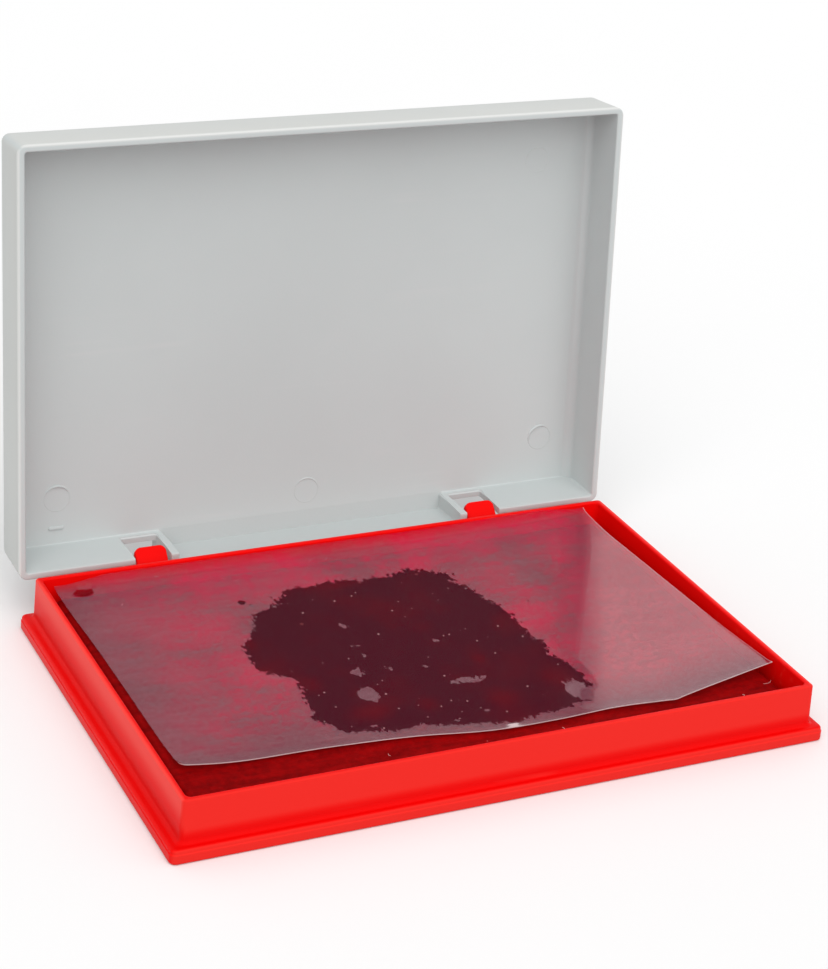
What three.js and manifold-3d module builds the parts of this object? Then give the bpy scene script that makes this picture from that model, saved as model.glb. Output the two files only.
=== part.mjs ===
// Hinged plastic stamp pad, standing open: a tray with a wrapped felt pad and its loose
// protective film, and a hollow lid that swings on two lugs behind the tray.
// Millimetres, +Z up, +X to the right, +Y to the hinge side, origin under the middle of the tray.

import * as THREE from 'three';
import { mergeVertices } from 'three/addons/utils/BufferGeometryUtils.js';
import Module from 'manifold-3d';

// Inking face: the flat top of the pad, the size that such a pad is sold by
const INK_FACE_LENGTH = 110;
const INK_FACE_DEPTH = 70;

// Pad build-up, from the tray's floor upwards
const CLOTH = 0.4;
const BACKING_PLATE = 0.8;
const FELT = 4;
const PAD_EDGE_RADIUS = 1.4;
const PAD_CORNER_RADIUS = 2;
const CLOTH_FOLD_RADIUS = 0.3;
const HEM_WIDTH = 8;
const WRAP_EASE = 0.1;

// Tray
const PAD_GAP = 1.5;
const TRAY_FLOOR = 1.6;
const TRAY_WALL = 1.1;
const WALL_DRAFT = 0.2;
const WELL_DRAFT = 0.15;
const WELL_FILLET = 0.5;
const PAD_RECESS = 3.2;
const WALL_CORNER_RADIUS = 0.8;
const WELL_CORNER_RADIUS = 0.9;
const RIM_ROUND = 0.3;
const FLANGE_HEIGHT = 2.6;
const FLANGE_ROUND = 0.5;
const FLANGE_FILLET = 0.8;
const FLANGE_END_REACH = 0.5;
const FLANGE_CORNER_RADIUS = 1.2;
const LIP_HEIGHT = 1.8;
const LIP_STEP = 0.15;
const FOOT_ROUND = 0.3;

// Hinge lugs behind the tray: a slanted tongue that carries a knuckle with a pin
const TONGUE_LENGTH = 6.2;
const TONGUE_THICKNESS = 1.4;
const TONGUE_SLANT = 47;
const TONGUE_FOOT = 1.1;
const TONGUE_ROOT = 1;
const TONGUE_CORNER_RADIUS = 1.3;
const TONGUE_EDGE_ROUND = 0.25;
const KNUCKLE_RADIUS = 2;
const PIN_RADIUS = 0.8;
const PIN_CLEARANCE = 0.1;
const PIN_END_GAP = 0.3;

// Lid
const LID_WALL = 1.3;
const LID_PANEL = 1.4;
const LID_DRAFT = 0.15;
const LID_CLEARANCE = 0.2;
const LID_SEAT_GAP = 0.2;
const LID_HEAD_ROOM = 2.4;
const LID_EDGE_ROUND = 1.2;
const LID_RIM_ROUND = 0.3;
const LID_CORNER_RADIUS = 1.7;
const LID_CAVITY_CORNER_RADIUS = 0.5;
const LID_CAVITY_FILLET = 0.3;
const REAR_LEAN = 0.6;

// Lid's hinge side: an outset between the hinges, and a notch beside each of its ends
const OUTSET_LENGTH = 62.2;
const OUTSET_REACH = 3.15;
const OUTSET_WALL = 1.3;
const OUTSET_END_WALL = 1.5;
const OUTSET_CORNER_RADIUS = 0.6;
const OUTSET_EDGE_ROUND = 0.5;
const OUTSET_CAVITY_CORNER_RADIUS = 0.4;
const NOTCH_DEPTH = 8.9;
const NOTCH_SIDE_GAP = 0.5;
const NOTCH_CORNER_RADIUS = 0.5;
const NOTCH_BEVEL = 0.25;
const EAR_RADIUS = 2;

// Swing of the lid
const OPEN_ANGLE = 94.3;
const AXIS_BEHIND_LID = 3.75;
const AXIS_ABOVE_LID_RIM = 2;

// Protective film: a loose sheet that slopes up to the right and to the back, with its front right corner
// lifted along a fold and its back edge curled up the tray's wall
const FILM_THICKNESS = 0.15;
const FILM_REST_GAP = 0.3;
const FILM_WALL_GAP = 0.25;
const FILM_LEFT_MARGIN = 3.3;
const FILM_BACK_LEFT_MARGIN = 2.2;
const FILM_RIGHT_MARGIN = 0.5;
const FILM_BACK_RIGHT_MARGIN = 3.3;
const FILM_RAMP_LENGTH = 13;
const FILM_RAMP_RISE = 0.9;
const FILM_SLOPE_LENGTH = 37.4;
const FILM_SLOPE_RISE = 1.05;
const FILM_SLOPE_POWER = 1.15;
const FILM_CURL_LENGTH = 2;
const FILM_CURL_RISE = 1.5;
const FILM_CURL_TURN = 76;
const FILM_CURL_FADE = 10;
const FILM_CURL_END_SHARE = 0.25;
const FILM_FLAP_ALONG_FRONT = 18.1;
const FILM_FLAP_ALONG_SIDE = 18.2;
const FILM_FLAP_LIFT = 0.65;
const FILM_FLAP_POWER = 1.3;

// Front edge of the film: share of its length from the left, and distance from the well's front wall
const FILM_FRONT_EDGE = [
  [0, 11.9],
  [0.06, 11.2],
  [0.24, 10.4],
  [0.36, 9.2],
  [0.49, 6.8],
  [0.6, 6.6],
  [0.7, 7],
  [0.8, 5.7],
  [0.92, 8.4],
  [1, 9.9],
];

// Facets
const CORNER_STEPS = 7;
const ROUND_STEPS = 4;
const FILM_CELLS_X = 50;
const FILM_FLAT_CELLS = 18;
const FILM_CURL_CELLS = 5;
const FILM_CELLS_Y = FILM_FLAT_CELLS + FILM_CURL_CELLS;
const PIN_STEPS = 24;
const CUT_MARGIN = 1;

// Sizes in plan, from the inking face outwards
const padHalfX = INK_FACE_LENGTH / 2 + PAD_EDGE_RADIUS;
const padHalfY = INK_FACE_DEPTH / 2 + PAD_EDGE_RADIUS;
const wellHalfX = padHalfX + PAD_GAP;
const wellHalfY = padHalfY + PAD_GAP;
const rimHalfX = wellHalfX + TRAY_WALL;
const rimHalfY = wellHalfY + TRAY_WALL;
const flangeReach = WALL_DRAFT + LID_CLEARANCE + LID_WALL;
const lidHalfX = rimHalfX + flangeReach;
const lidHalfY = rimHalfY + flangeReach;

// Levels, from the table upwards
const plateBottom = TRAY_FLOOR + CLOTH;
const feltBottom = plateBottom + BACKING_PLATE;
const feltTop = feltBottom + FELT;
const padTop = feltTop + CLOTH;
const rimTop = padTop + PAD_RECESS;
const lidRim = FLANGE_HEIGHT + LID_SEAT_GAP;
const panelBottom = rimTop + LID_HEAD_ROOM;
const lidTop = panelBottom + LID_PANEL;

// Hinge axis, in the closed lid's place
const axisY = lidHalfY + AXIS_BEHIND_LID;
const axisZ = lidRim + AXIS_ABOVE_LID_RIM;

// Hinge places along the lid, and the tongue's slanted upper face
const notchLength = TONGUE_LENGTH + 2 * NOTCH_SIDE_GAP;
const hingeOffset = OUTSET_LENGTH / 2 + notchLength / 2;
const hingeSides = [-1, 1];
const slant = THREE.MathUtils.degToRad(TONGUE_SLANT);
const tongueFootZ = FLANGE_HEIGHT + TONGUE_FOOT;
const tongueRise = (rimTop - tongueFootZ) / Math.sin(slant);

const wasm = await Module();
wasm.setup();

// Closed geometry to a solid that can be joined and cut
function solidOf(geometry) {
  const bare = geometry.clone();
  bare.deleteAttribute('normal');
  bare.deleteAttribute('uv');
  const merged = mergeVertices(bare, 1e-4);
  return new wasm.Manifold(
    new wasm.Mesh({
      numProp: 3,
      vertProperties: new Float32Array(merged.attributes.position.array),
      triVerts: new Uint32Array(merged.index.array),
    })
  );
}

// Solid back to a geometry for a mesh
function geometryOf(solid) {
  const mesh = solid.getMesh();
  const geometry = new THREE.BufferGeometry();
  geometry.setAttribute('position', new THREE.Float32BufferAttribute(mesh.vertProperties, 3));
  geometry.setIndex(new THREE.Uint32BufferAttribute(mesh.triVerts, 1));
  geometry.computeVertexNormals();
  return geometry;
}

// Points of a rectangle with rounded corners, counter-clockwise about its centre
function roundedOutline(halfX, halfY, radius, centreX, centreY) {
  const points = [];
  const corners = [
    [1, 1, 0],
    [-1, 1, Math.PI / 2],
    [-1, -1, Math.PI],
    [1, -1, (3 * Math.PI) / 2],
  ];
  for (const [signX, signY, start] of corners) {
    for (let i = 0; i <= CORNER_STEPS; i++) {
      const angle = start + (i / CORNER_STEPS) * (Math.PI / 2);
      points.push(
        new THREE.Vector2(
          centreX + signX * (halfX - radius) + radius * Math.cos(angle),
          centreY + signY * (halfY - radius) + radius * Math.sin(angle)
        )
      );
    }
  }
  return points;
}

// Closed body through a stack of outlines with the same number of points, bottom first
function stackedBody(outlines, heights) {
  const count = outlines[0].length;
  const position = outlines.flatMap((outline, k) => outline.flatMap((p) => [p.x, p.y, heights[k]]));
  const index = [];
  for (let k = 0; k + 1 < outlines.length; k++) {
    for (let i = 0; i < count; i++) {
      const a = k * count + i;
      const b = k * count + ((i + 1) % count);
      index.push(a, b, b + count, a, b + count, a + count);
    }
  }
  const last = (outlines.length - 1) * count;
  for (const [a, b, c] of THREE.ShapeUtils.triangulateShape(outlines[0], [])) {
    index.push(a, c, b);
  }
  for (const [a, b, c] of THREE.ShapeUtils.triangulateShape(outlines[outlines.length - 1], [])) {
    index.push(last + a, last + b, last + c);
  }
  const geometry = new THREE.BufferGeometry();
  geometry.setAttribute('position', new THREE.Float32BufferAttribute(position, 3));
  geometry.setIndex(index);
  return solidOf(geometry);
}

// Rounded rectangle swept up an edge profile: each profile point is [growth of the outline, height].
// The lean is how much further the rear side stands out at a height.
function profiledBlock({ halfX, halfY, radius, profile, centreX = 0, centreY = 0, lean = () => 0 }) {
  const outlines = profile.map(([grow, height]) => {
    const rear = lean(height) / 2;
    return roundedOutline(halfX + grow, halfY + grow + rear, radius + grow, centreX, centreY + rear);
  });
  const heights = profile.map(([, height]) => height);
  return stackedBody(outlines, heights);
}

// Points of an arc in a profile, from one angle to another in degrees
function arc(centreGrow, centreHeight, radius, fromDegrees, toDegrees) {
  const points = [];
  for (let i = 0; i <= ROUND_STEPS; i++) {
    const angle = THREE.MathUtils.degToRad(fromDegrees + (i / ROUND_STEPS) * (toDegrees - fromDegrees));
    points.push([centreGrow + radius * Math.cos(angle), centreHeight + radius * Math.sin(angle)]);
  }
  return points;
}

// Prism along X with an outline given as [y, z] points
function prismAlongX(outline, centreX, length) {
  const shape = new THREE.Shape(outline.map(([y, z]) => new THREE.Vector2(y, z)));
  const geometry = new THREE.ExtrudeGeometry(shape, { depth: length, bevelEnabled: false });
  geometry.translate(0, 0, -length / 2);
  const yToX = new THREE.Matrix4().makeBasis(
    new THREE.Vector3(0, 1, 0),
    new THREE.Vector3(0, 0, 1),
    new THREE.Vector3(1, 0, 0)
  );
  geometry.applyMatrix4(yToX);
  geometry.translate(centreX, 0, 0);
  return solidOf(geometry);
}

// Tray wall with its fillet at the foot, the flange with its lip, and the well for the pad
function trayBody() {
  const filletEdge = WALL_DRAFT + FLANGE_FILLET;
  const wall = profiledBlock({
    halfX: rimHalfX,
    halfY: rimHalfY,
    radius: WALL_CORNER_RADIUS,
    profile: [
      [filletEdge, FOOT_ROUND],
      ...arc(filletEdge, FLANGE_HEIGHT + FLANGE_FILLET, FLANGE_FILLET, 270, 180),
      ...arc(-RIM_ROUND, rimTop - RIM_ROUND, RIM_ROUND, 0, 90),
    ],
  });
  const flange = profiledBlock({
    halfX: lidHalfX + FLANGE_END_REACH,
    halfY: lidHalfY,
    radius: FLANGE_CORNER_RADIUS,
    profile: [
      ...arc(-FOOT_ROUND, FOOT_ROUND, FOOT_ROUND, -90, 0),
      [0, LIP_HEIGHT - LIP_STEP],
      [-LIP_STEP, LIP_HEIGHT],
      ...arc(-LIP_STEP - FLANGE_ROUND, FLANGE_HEIGHT - FLANGE_ROUND, FLANGE_ROUND, 0, 90),
    ],
  });
  const well = profiledBlock({
    halfX: wellHalfX,
    halfY: wellHalfY,
    radius: WELL_CORNER_RADIUS,
    profile: [
      ...arc(-WELL_DRAFT - WELL_FILLET, TRAY_FLOOR + WELL_FILLET, WELL_FILLET, 270, 360),
      ...arc(RIM_ROUND, rimTop - RIM_ROUND, RIM_ROUND, 180, 90),
      [RIM_ROUND, rimTop + CUT_MARGIN],
    ],
  });
  return wall.add(flange).subtract(well);
}

// Round bar along X between two places
function barAlongX(fromX, toX, y, z, radius) {
  const length = Math.abs(toX - fromX);
  const geometry = new THREE.CylinderGeometry(radius, radius, length, PIN_STEPS);
  geometry.rotateZ(Math.PI / 2);
  geometry.translate((fromX + toX) / 2, y, z);
  return solidOf(geometry);
}

// Slanted plate from the foot of the back wall up to rim level, with round upper corners
function hingeTongue(centreX) {
  const halfX = TONGUE_LENGTH / 2;
  const cornerX = halfX - TONGUE_CORNER_RADIUS;
  const cornerT = tongueRise - TONGUE_CORNER_RADIUS;
  const shape = new THREE.Shape();
  shape.moveTo(-halfX, -TONGUE_ROOT);
  shape.lineTo(halfX, -TONGUE_ROOT);
  shape.lineTo(halfX, cornerT);
  shape.absarc(cornerX, cornerT, TONGUE_CORNER_RADIUS, 0, Math.PI / 2);
  shape.lineTo(-cornerX, tongueRise);
  shape.absarc(-cornerX, cornerT, TONGUE_CORNER_RADIUS, Math.PI / 2, Math.PI);
  const geometry = new THREE.ExtrudeGeometry(shape, {
    depth: TONGUE_THICKNESS - 2 * TONGUE_EDGE_ROUND,
    bevelThickness: TONGUE_EDGE_ROUND,
    bevelSize: TONGUE_EDGE_ROUND,
    bevelOffset: -TONGUE_EDGE_ROUND,
    bevelSegments: ROUND_STEPS,
    curveSegments: CORNER_STEPS,
  });
  geometry.translate(0, 0, TONGUE_EDGE_ROUND - TONGUE_THICKNESS);
  geometry.rotateX(slant);
  geometry.translate(centreX, rimHalfY, tongueFootZ);
  return solidOf(geometry);
}

// Rounded knuckle about the hinge axis, joined to the underside of the tongue
function hingeKnuckle(centreX) {
  const along = (t) => [rimHalfY + t * Math.cos(slant), tongueFootZ + t * Math.sin(slant)];
  const axisT = (axisY - rimHalfY) * Math.cos(slant) + (axisZ - tongueFootZ) * Math.sin(slant);
  const under = TONGUE_THICKNESS / 2;
  const [middleY, middleZ] = along(axisT);
  const topY = middleY + under * Math.sin(slant);
  const topZ = middleZ - under * Math.cos(slant);
  const sideY = KNUCKLE_RADIUS * Math.cos(slant);
  const sideZ = KNUCKLE_RADIUS * Math.sin(slant);
  const leg = prismAlongX(
    [
      [topY - sideY, topZ - sideZ],
      [axisY - sideY, axisZ - sideZ],
      [axisY + sideY, axisZ + sideZ],
      [topY + sideY, topZ + sideZ],
    ],
    centreX,
    TONGUE_LENGTH
  );
  const halfX = TONGUE_LENGTH / 2;
  return leg.add(barAlongX(centreX - halfX, centreX + halfX, axisY, axisZ, KNUCKLE_RADIUS));
}

// Pin on the inboard face of a knuckle, ending inside the lid's ear
function hingePin(side) {
  const inboard = OUTSET_LENGTH / 2 - OUTSET_END_WALL + PIN_END_GAP;
  return barAlongX(side * inboard, side * hingeOffset, axisY, axisZ, PIN_RADIUS);
}

function tray() {
  let body = trayBody();
  for (const side of hingeSides) {
    const place = side * hingeOffset;
    body = body.add(hingeTongue(place)).add(hingeKnuckle(place)).add(hingePin(side));
  }
  return body;
}

// How much further than at the panel the lid's rear wall stands out, growing towards the rim
function rearLean(height) {
  const down = (panelBottom - height) / (panelBottom - lidRim);
  return REAR_LEAN * THREE.MathUtils.clamp(down, 0, 1);
}

// Hollow lid, in the place where it lies closed
function lidShell() {
  const outside = [
    ...arc(-LID_RIM_ROUND, lidRim + LID_RIM_ROUND, LID_RIM_ROUND, -90, 0),
    ...arc(-LID_DRAFT - LID_EDGE_ROUND, lidTop - LID_EDGE_ROUND, LID_EDGE_ROUND, 0, 90),
  ];
  const cavity = [
    [LID_RIM_ROUND, lidRim - CUT_MARGIN],
    ...arc(LID_RIM_ROUND, lidRim + LID_RIM_ROUND, LID_RIM_ROUND, 270, 180),
    ...arc(-LID_DRAFT - LID_CAVITY_FILLET, panelBottom - LID_CAVITY_FILLET, LID_CAVITY_FILLET, 0, 90),
  ];
  const block = profiledBlock({
    halfX: lidHalfX,
    halfY: lidHalfY,
    radius: LID_CORNER_RADIUS,
    profile: outside,
    lean: rearLean,
  });
  const hollow = profiledBlock({
    halfX: lidHalfX - LID_WALL,
    halfY: lidHalfY - LID_WALL,
    radius: LID_CAVITY_CORNER_RADIUS,
    profile: cavity,
    lean: rearLean,
  });
  return { block, hollow };
}

// Outset of the rear wall between the hinges, whose end walls are the ribs beside the notches
function lidOutset() {
  const rearFace = lidHalfY + OUTSET_REACH;
  const innerFace = lidHalfY - LID_WALL;
  const blockHalfY = (rearFace - innerFace) / 2;
  const block = profiledBlock({
    halfX: OUTSET_LENGTH / 2,
    halfY: blockHalfY,
    radius: OUTSET_CORNER_RADIUS,
    profile: [
      ...arc(-LID_RIM_ROUND, lidRim + LID_RIM_ROUND, LID_RIM_ROUND, -90, 0),
      ...arc(-OUTSET_EDGE_ROUND, lidTop - OUTSET_EDGE_ROUND, OUTSET_EDGE_ROUND, 0, 90),
    ],
    centreY: innerFace + blockHalfY,
  });
  const hollowHalfY = blockHalfY + CUT_MARGIN / 2 - OUTSET_WALL / 2;
  const hollow = profiledBlock({
    halfX: OUTSET_LENGTH / 2 - OUTSET_END_WALL,
    halfY: hollowHalfY,
    radius: OUTSET_CAVITY_CORNER_RADIUS,
    profile: [
      [0, lidRim - CUT_MARGIN],
      [0, panelBottom],
    ],
    centreY: rearFace - OUTSET_WALL - hollowHalfY,
  });
  return { block, hollow };
}

// Ear on an end of the outset, and the hole in it for the pin
function hingeEar(side) {
  const outboard = OUTSET_LENGTH / 2;
  const inboard = outboard - OUTSET_END_WALL;
  return {
    ear: barAlongX(side * inboard, side * outboard, axisY, axisZ, EAR_RADIUS),
    hole: barAlongX(side * inboard, side * (outboard + CUT_MARGIN), axisY, axisZ, PIN_RADIUS + PIN_CLEARANCE),
  };
}

// Opening in the rear wall, from the rim up, that the tongue stands in when the lid is closed
function hingeNotch(side) {
  const innerFace = lidHalfY - LID_WALL;
  const lowZ = lidRim - CUT_MARGIN;
  const highZ = lidRim + NOTCH_DEPTH;
  const steps = [
    [innerFace - CUT_MARGIN, NOTCH_BEVEL],
    [innerFace, NOTCH_BEVEL],
    [innerFace + NOTCH_BEVEL, 0],
    [lidHalfY + REAR_LEAN + CUT_MARGIN, 0],
  ];
  const outlines = steps.map(([, grow]) =>
    roundedOutline(
      notchLength / 2 + grow,
      (highZ - lowZ) / 2 + grow,
      NOTCH_CORNER_RADIUS + grow,
      side * hingeOffset,
      -(lowZ + highZ) / 2
    )
  );
  const heights = steps.map(([y]) => y);
  return stackedBody(outlines, heights).rotate([-90, 0, 0]);
}

// Bevel along the inner edge of an end wall of the outset
function ribBevel(side) {
  const innerFace = lidHalfY - LID_WALL;
  const edge = side * (OUTSET_LENGTH / 2 - OUTSET_END_WALL);
  const past = LID_DRAFT + CUT_MARGIN;
  const corners = [
    new THREE.Vector2(edge - side * NOTCH_BEVEL, innerFace - past),
    new THREE.Vector2(edge + side * (NOTCH_BEVEL + past), innerFace - past),
    new THREE.Vector2(edge - side * NOTCH_BEVEL, innerFace + 2 * NOTCH_BEVEL),
  ];
  const outline = side > 0 ? corners : corners.reverse();
  return stackedBody([outline, outline], [lidRim - CUT_MARGIN, panelBottom]);
}

function lid() {
  const shell = lidShell();
  const outset = lidOutset();
  let body = shell.block.add(outset.block).subtract(shell.hollow).subtract(outset.hollow);
  for (const side of hingeSides) {
    const { ear, hole } = hingeEar(side);
    body = body.subtract(hingeNotch(side)).subtract(ribBevel(side)).add(ear).subtract(hole);
  }
  return body;
}

// Cloth drawn over the felt, down its sides and under the plate in a flat hem
function padCoverCloth() {
  const outside = [
    ...arc(-CLOTH_FOLD_RADIUS, TRAY_FLOOR + CLOTH_FOLD_RADIUS, CLOTH_FOLD_RADIUS, -90, 0),
    ...arc(-PAD_EDGE_RADIUS, padTop - PAD_EDGE_RADIUS, PAD_EDGE_RADIUS, 0, 90),
  ];
  const wrap = profiledBlock({
    halfX: padHalfX,
    halfY: padHalfY,
    radius: PAD_CORNER_RADIUS,
    profile: outside,
  });
  const hemHole = profiledBlock({
    halfX: padHalfX - CLOTH - HEM_WIDTH,
    halfY: padHalfY - CLOTH - HEM_WIDTH,
    radius: PAD_CORNER_RADIUS,
    profile: [
      [0, TRAY_FLOOR - CUT_MARGIN],
      [0, feltBottom],
    ],
  });
  return wrap.subtract(feltSpace(0, plateBottom)).subtract(hemHole);
}

// Room inside the cloth, taken in by an ease, from a level up to the felt's rounded top
function feltSpace(ease, bottom) {
  const edge = PAD_EDGE_RADIUS - CLOTH;
  return profiledBlock({
    halfX: padHalfX - CLOTH - ease,
    halfY: padHalfY - CLOTH - ease,
    radius: PAD_CORNER_RADIUS - CLOTH,
    profile: [[0, bottom], ...arc(-edge, feltTop - edge, edge, 0, 90)],
  });
}

function feltCore() {
  return feltSpace(WRAP_EASE, feltBottom);
}

function backingPlate() {
  return profiledBlock({
    halfX: padHalfX - CLOTH - WRAP_EASE,
    halfY: padHalfY - CLOTH - WRAP_EASE,
    radius: PAD_CORNER_RADIUS - CLOTH,
    profile: [
      [0, plateBottom],
      [0, feltBottom],
    ],
  });
}

// Height of a line through points, at a place along it
function heightAlong(points, at) {
  const last = points.length - 1;
  const next = Math.min(last, Math.max(1, points.findIndex(([place]) => place >= at)));
  const [fromPlace, fromHeight] = points[next - 1];
  const [toPlace, toHeight] = points[next];
  return THREE.MathUtils.mapLinear(at, fromPlace, toPlace, fromHeight, toHeight);
}

// Point on the film's underside: u runs from 0 at the left to 1 at the right, rows run from the front
function filmPoint(u, row) {
  const { lerp, clamp, degToRad } = THREE.MathUtils;
  const backY = wellHalfY - FILM_WALL_GAP;
  const rightX = wellHalfX - FILM_RIGHT_MARGIN;
  const backRightX = wellHalfX - FILM_BACK_RIGHT_MARGIN;
  const backLeftX = -wellHalfX + FILM_BACK_LEFT_MARGIN;
  const cornerY = -wellHalfY + FILM_FRONT_EDGE.at(-1)[1];
  const frontY = -wellHalfY + heightAlong(FILM_FRONT_EDGE, u);
  const fullTurn = degToRad(FILM_CURL_TURN);
  const turn = fullTurn * Math.max(0, (row - FILM_FLAT_CELLS) / FILM_CURL_CELLS);
  const bendY = lerp(frontY, backY - FILM_CURL_LENGTH, Math.min(1, row / FILM_FLAT_CELLS));
  const y = bendY + (FILM_CURL_LENGTH * Math.sin(turn)) / Math.sin(fullTurn);
  const lean = (y - frontY) / (backY - frontY);
  const leftX = lerp(-wellHalfX + FILM_LEFT_MARGIN, backLeftX, lean ** 4);
  const x = lerp(leftX, lerp(rightX, backRightX, lean), u);
  const ends = clamp(Math.min(x - backLeftX, backRightX - x) / FILM_CURL_FADE, FILM_CURL_END_SHARE, 1);
  const curl = (ends * (1 - Math.cos(turn))) / (1 - Math.cos(fullTurn));
  const ramp = Math.max(0, 1 - (backY - y) / FILM_RAMP_LENGTH);
  const slope = Math.max(0, 1 - (rightX - x) / FILM_SLOPE_LENGTH);
  const past = (rightX - x) / FILM_FLAP_ALONG_FRONT + (y - cornerY) / FILM_FLAP_ALONG_SIDE;
  const flap = clamp(1 - past, 0, 1);
  const rise =
    FILM_CURL_RISE * curl +
    FILM_RAMP_RISE * ramp ** 2 +
    FILM_SLOPE_RISE * slope ** FILM_SLOPE_POWER +
    FILM_FLAP_LIFT * flap ** FILM_FLAP_POWER;
  return new THREE.Vector3(x, y, padTop + FILM_REST_GAP + rise);
}

// Thin sheet with an even grid on both faces and a closed edge
function protectiveFilm() {
  const columns = FILM_CELLS_X + 1;
  const rows = FILM_CELLS_Y + 1;
  const position = [];
  for (const lift of [0, FILM_THICKNESS]) {
    for (let j = 0; j < rows; j++) {
      for (let i = 0; i < columns; i++) {
        const point = filmPoint(i / FILM_CELLS_X, j);
        position.push(point.x, point.y, point.z + lift);
      }
    }
  }
  const upper = columns * rows;
  const index = [];
  for (let j = 0; j < FILM_CELLS_Y; j++) {
    for (let i = 0; i < FILM_CELLS_X; i++) {
      const a = j * columns + i;
      const b = a + 1;
      const c = a + columns + 1;
      const d = a + columns;
      index.push(a, c, b, a, d, c, upper + a, upper + b, upper + c, upper + a, upper + c, upper + d);
    }
  }
  const border = [];
  for (let i = 0; i < FILM_CELLS_X; i++) border.push(i);
  for (let j = 0; j < FILM_CELLS_Y; j++) border.push(j * columns + FILM_CELLS_X);
  for (let i = FILM_CELLS_X; i > 0; i--) border.push(FILM_CELLS_Y * columns + i);
  for (let j = FILM_CELLS_Y; j > 0; j--) border.push(j * columns);
  border.forEach((from, k) => {
    const to = border[(k + 1) % border.length];
    index.push(from, to, upper + to, from, upper + to, upper + from);
  });
  const geometry = new THREE.BufferGeometry();
  geometry.setAttribute('position', new THREE.Float32BufferAttribute(position, 3));
  geometry.setIndex(index);
  geometry.computeVertexNormals();
  return geometry;
}

// One named piece with its own finish
function piece(name, geometry, color, roughness, extra = {}) {
  const material = new THREE.MeshStandardMaterial({ color, roughness, metalness: 0, ...extra });
  const mesh = new THREE.Mesh(geometry, material);
  mesh.name = name;
  return mesh;
}

const padStack = new THREE.Group();
padStack.add(piece('backing_plate', geometryOf(backingPlate()), 0xd8d4cc, 0.6));
padStack.add(piece('felt_core', geometryOf(feltCore()), 0x8a0a0c, 0.95));
padStack.add(piece('pad_cover_cloth', geometryOf(padCoverCloth()), 0x780204, 0.7));

// The lid is drawn closed and turned back about the hinge axis
const lidAtAxis = piece('lid', geometryOf(lid()), 0xb9bbb8, 0.45);
lidAtAxis.position.set(0, -axisY, -axisZ);
const lidSwing = new THREE.Group();
lidSwing.position.set(0, axisY, axisZ);
lidSwing.rotation.x = -THREE.MathUtils.degToRad(OPEN_ANGLE);
lidSwing.add(lidAtAxis);

const stampPad = new THREE.Group();
stampPad.add(piece('tray', geometryOf(tray()), 0xf0201a, 0.4));
stampPad.add(padStack);
const clear = { transparent: true, opacity: 0.45 };
stampPad.add(piece('protective_film', protectiveFilm(), 0xd9b8bc, 0.25, clear));
stampPad.add(lidSwing);

export default stampPad;
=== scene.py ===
"""Looks of an open hinged stamp pad: red tray, grey lid, wrapped ink pad and its loose film."""

import logging
import math
import random
from dataclasses import dataclass, field
from enum import Enum

import bmesh
import bpy
import numpy as np
from mathutils import Matrix, Vector


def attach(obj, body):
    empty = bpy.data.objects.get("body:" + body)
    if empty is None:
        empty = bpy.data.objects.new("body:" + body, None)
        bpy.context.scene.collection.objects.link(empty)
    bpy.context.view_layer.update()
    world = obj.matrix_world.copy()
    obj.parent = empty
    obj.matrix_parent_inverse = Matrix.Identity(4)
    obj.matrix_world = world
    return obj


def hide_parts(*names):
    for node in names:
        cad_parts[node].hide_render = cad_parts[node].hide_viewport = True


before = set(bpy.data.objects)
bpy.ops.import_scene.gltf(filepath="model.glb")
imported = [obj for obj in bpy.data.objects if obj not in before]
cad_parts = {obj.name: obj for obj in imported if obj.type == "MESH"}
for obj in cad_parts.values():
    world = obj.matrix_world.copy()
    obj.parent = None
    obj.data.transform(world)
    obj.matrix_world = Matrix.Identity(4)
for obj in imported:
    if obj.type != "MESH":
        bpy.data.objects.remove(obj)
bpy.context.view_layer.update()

LOG = logging.getLogger("stamp_pad")
MM = 0.001
NOISE_MIDDLE = 0.5
WELD_GAP = 1e-6
FLAT_TURN = 0.3
MOULD_SHARP = 32.0
LEAST_ROUND = 0.02
TOP_MARGIN = 0.01

Colour = tuple[float, float, float]
Point = tuple[float, float, float]
Pair = tuple[float, float]
Spot = tuple[float, float, float, float]
Face = tuple[int, ...]
NodeSocket = bpy.types.NodeSocket


class Body(Enum):
    """The rigid bodies that pieces ride on."""

    BASE = "base"
    LID = "lid"
    FILM = "film"


class Slot(Enum):
    """The record's material slot names. No piece here takes them."""

    TRAY = "tray_plastic"
    LID = "lid_plastic"
    FELT = "felt"
    CLOTH = "inked_cloth"
    FILM = "clear_film"


class Effect(Enum):
    """The shader node groups."""

    SKIN = "moulded_skin"
    WEAVE = "plain_weave"
    INK = "ink_spread"
    DUST = "fine_dust"


class Stored(Enum):
    """The values that are stored on a mesh's points for its material to read."""

    INK_REACH = "ink_reach"
    INK_THIN = "ink_thin"
    FILM_TOUCH = "film_touch"
    FILM_COVER = "film_cover"
    FILM_EDGE_HIGHLIGHT = "film_edge_highlight"
    FILM_LOOSE = "film_loose"
    FILM_SHEEN = "film_sheen"


# Shader nodes


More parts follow.
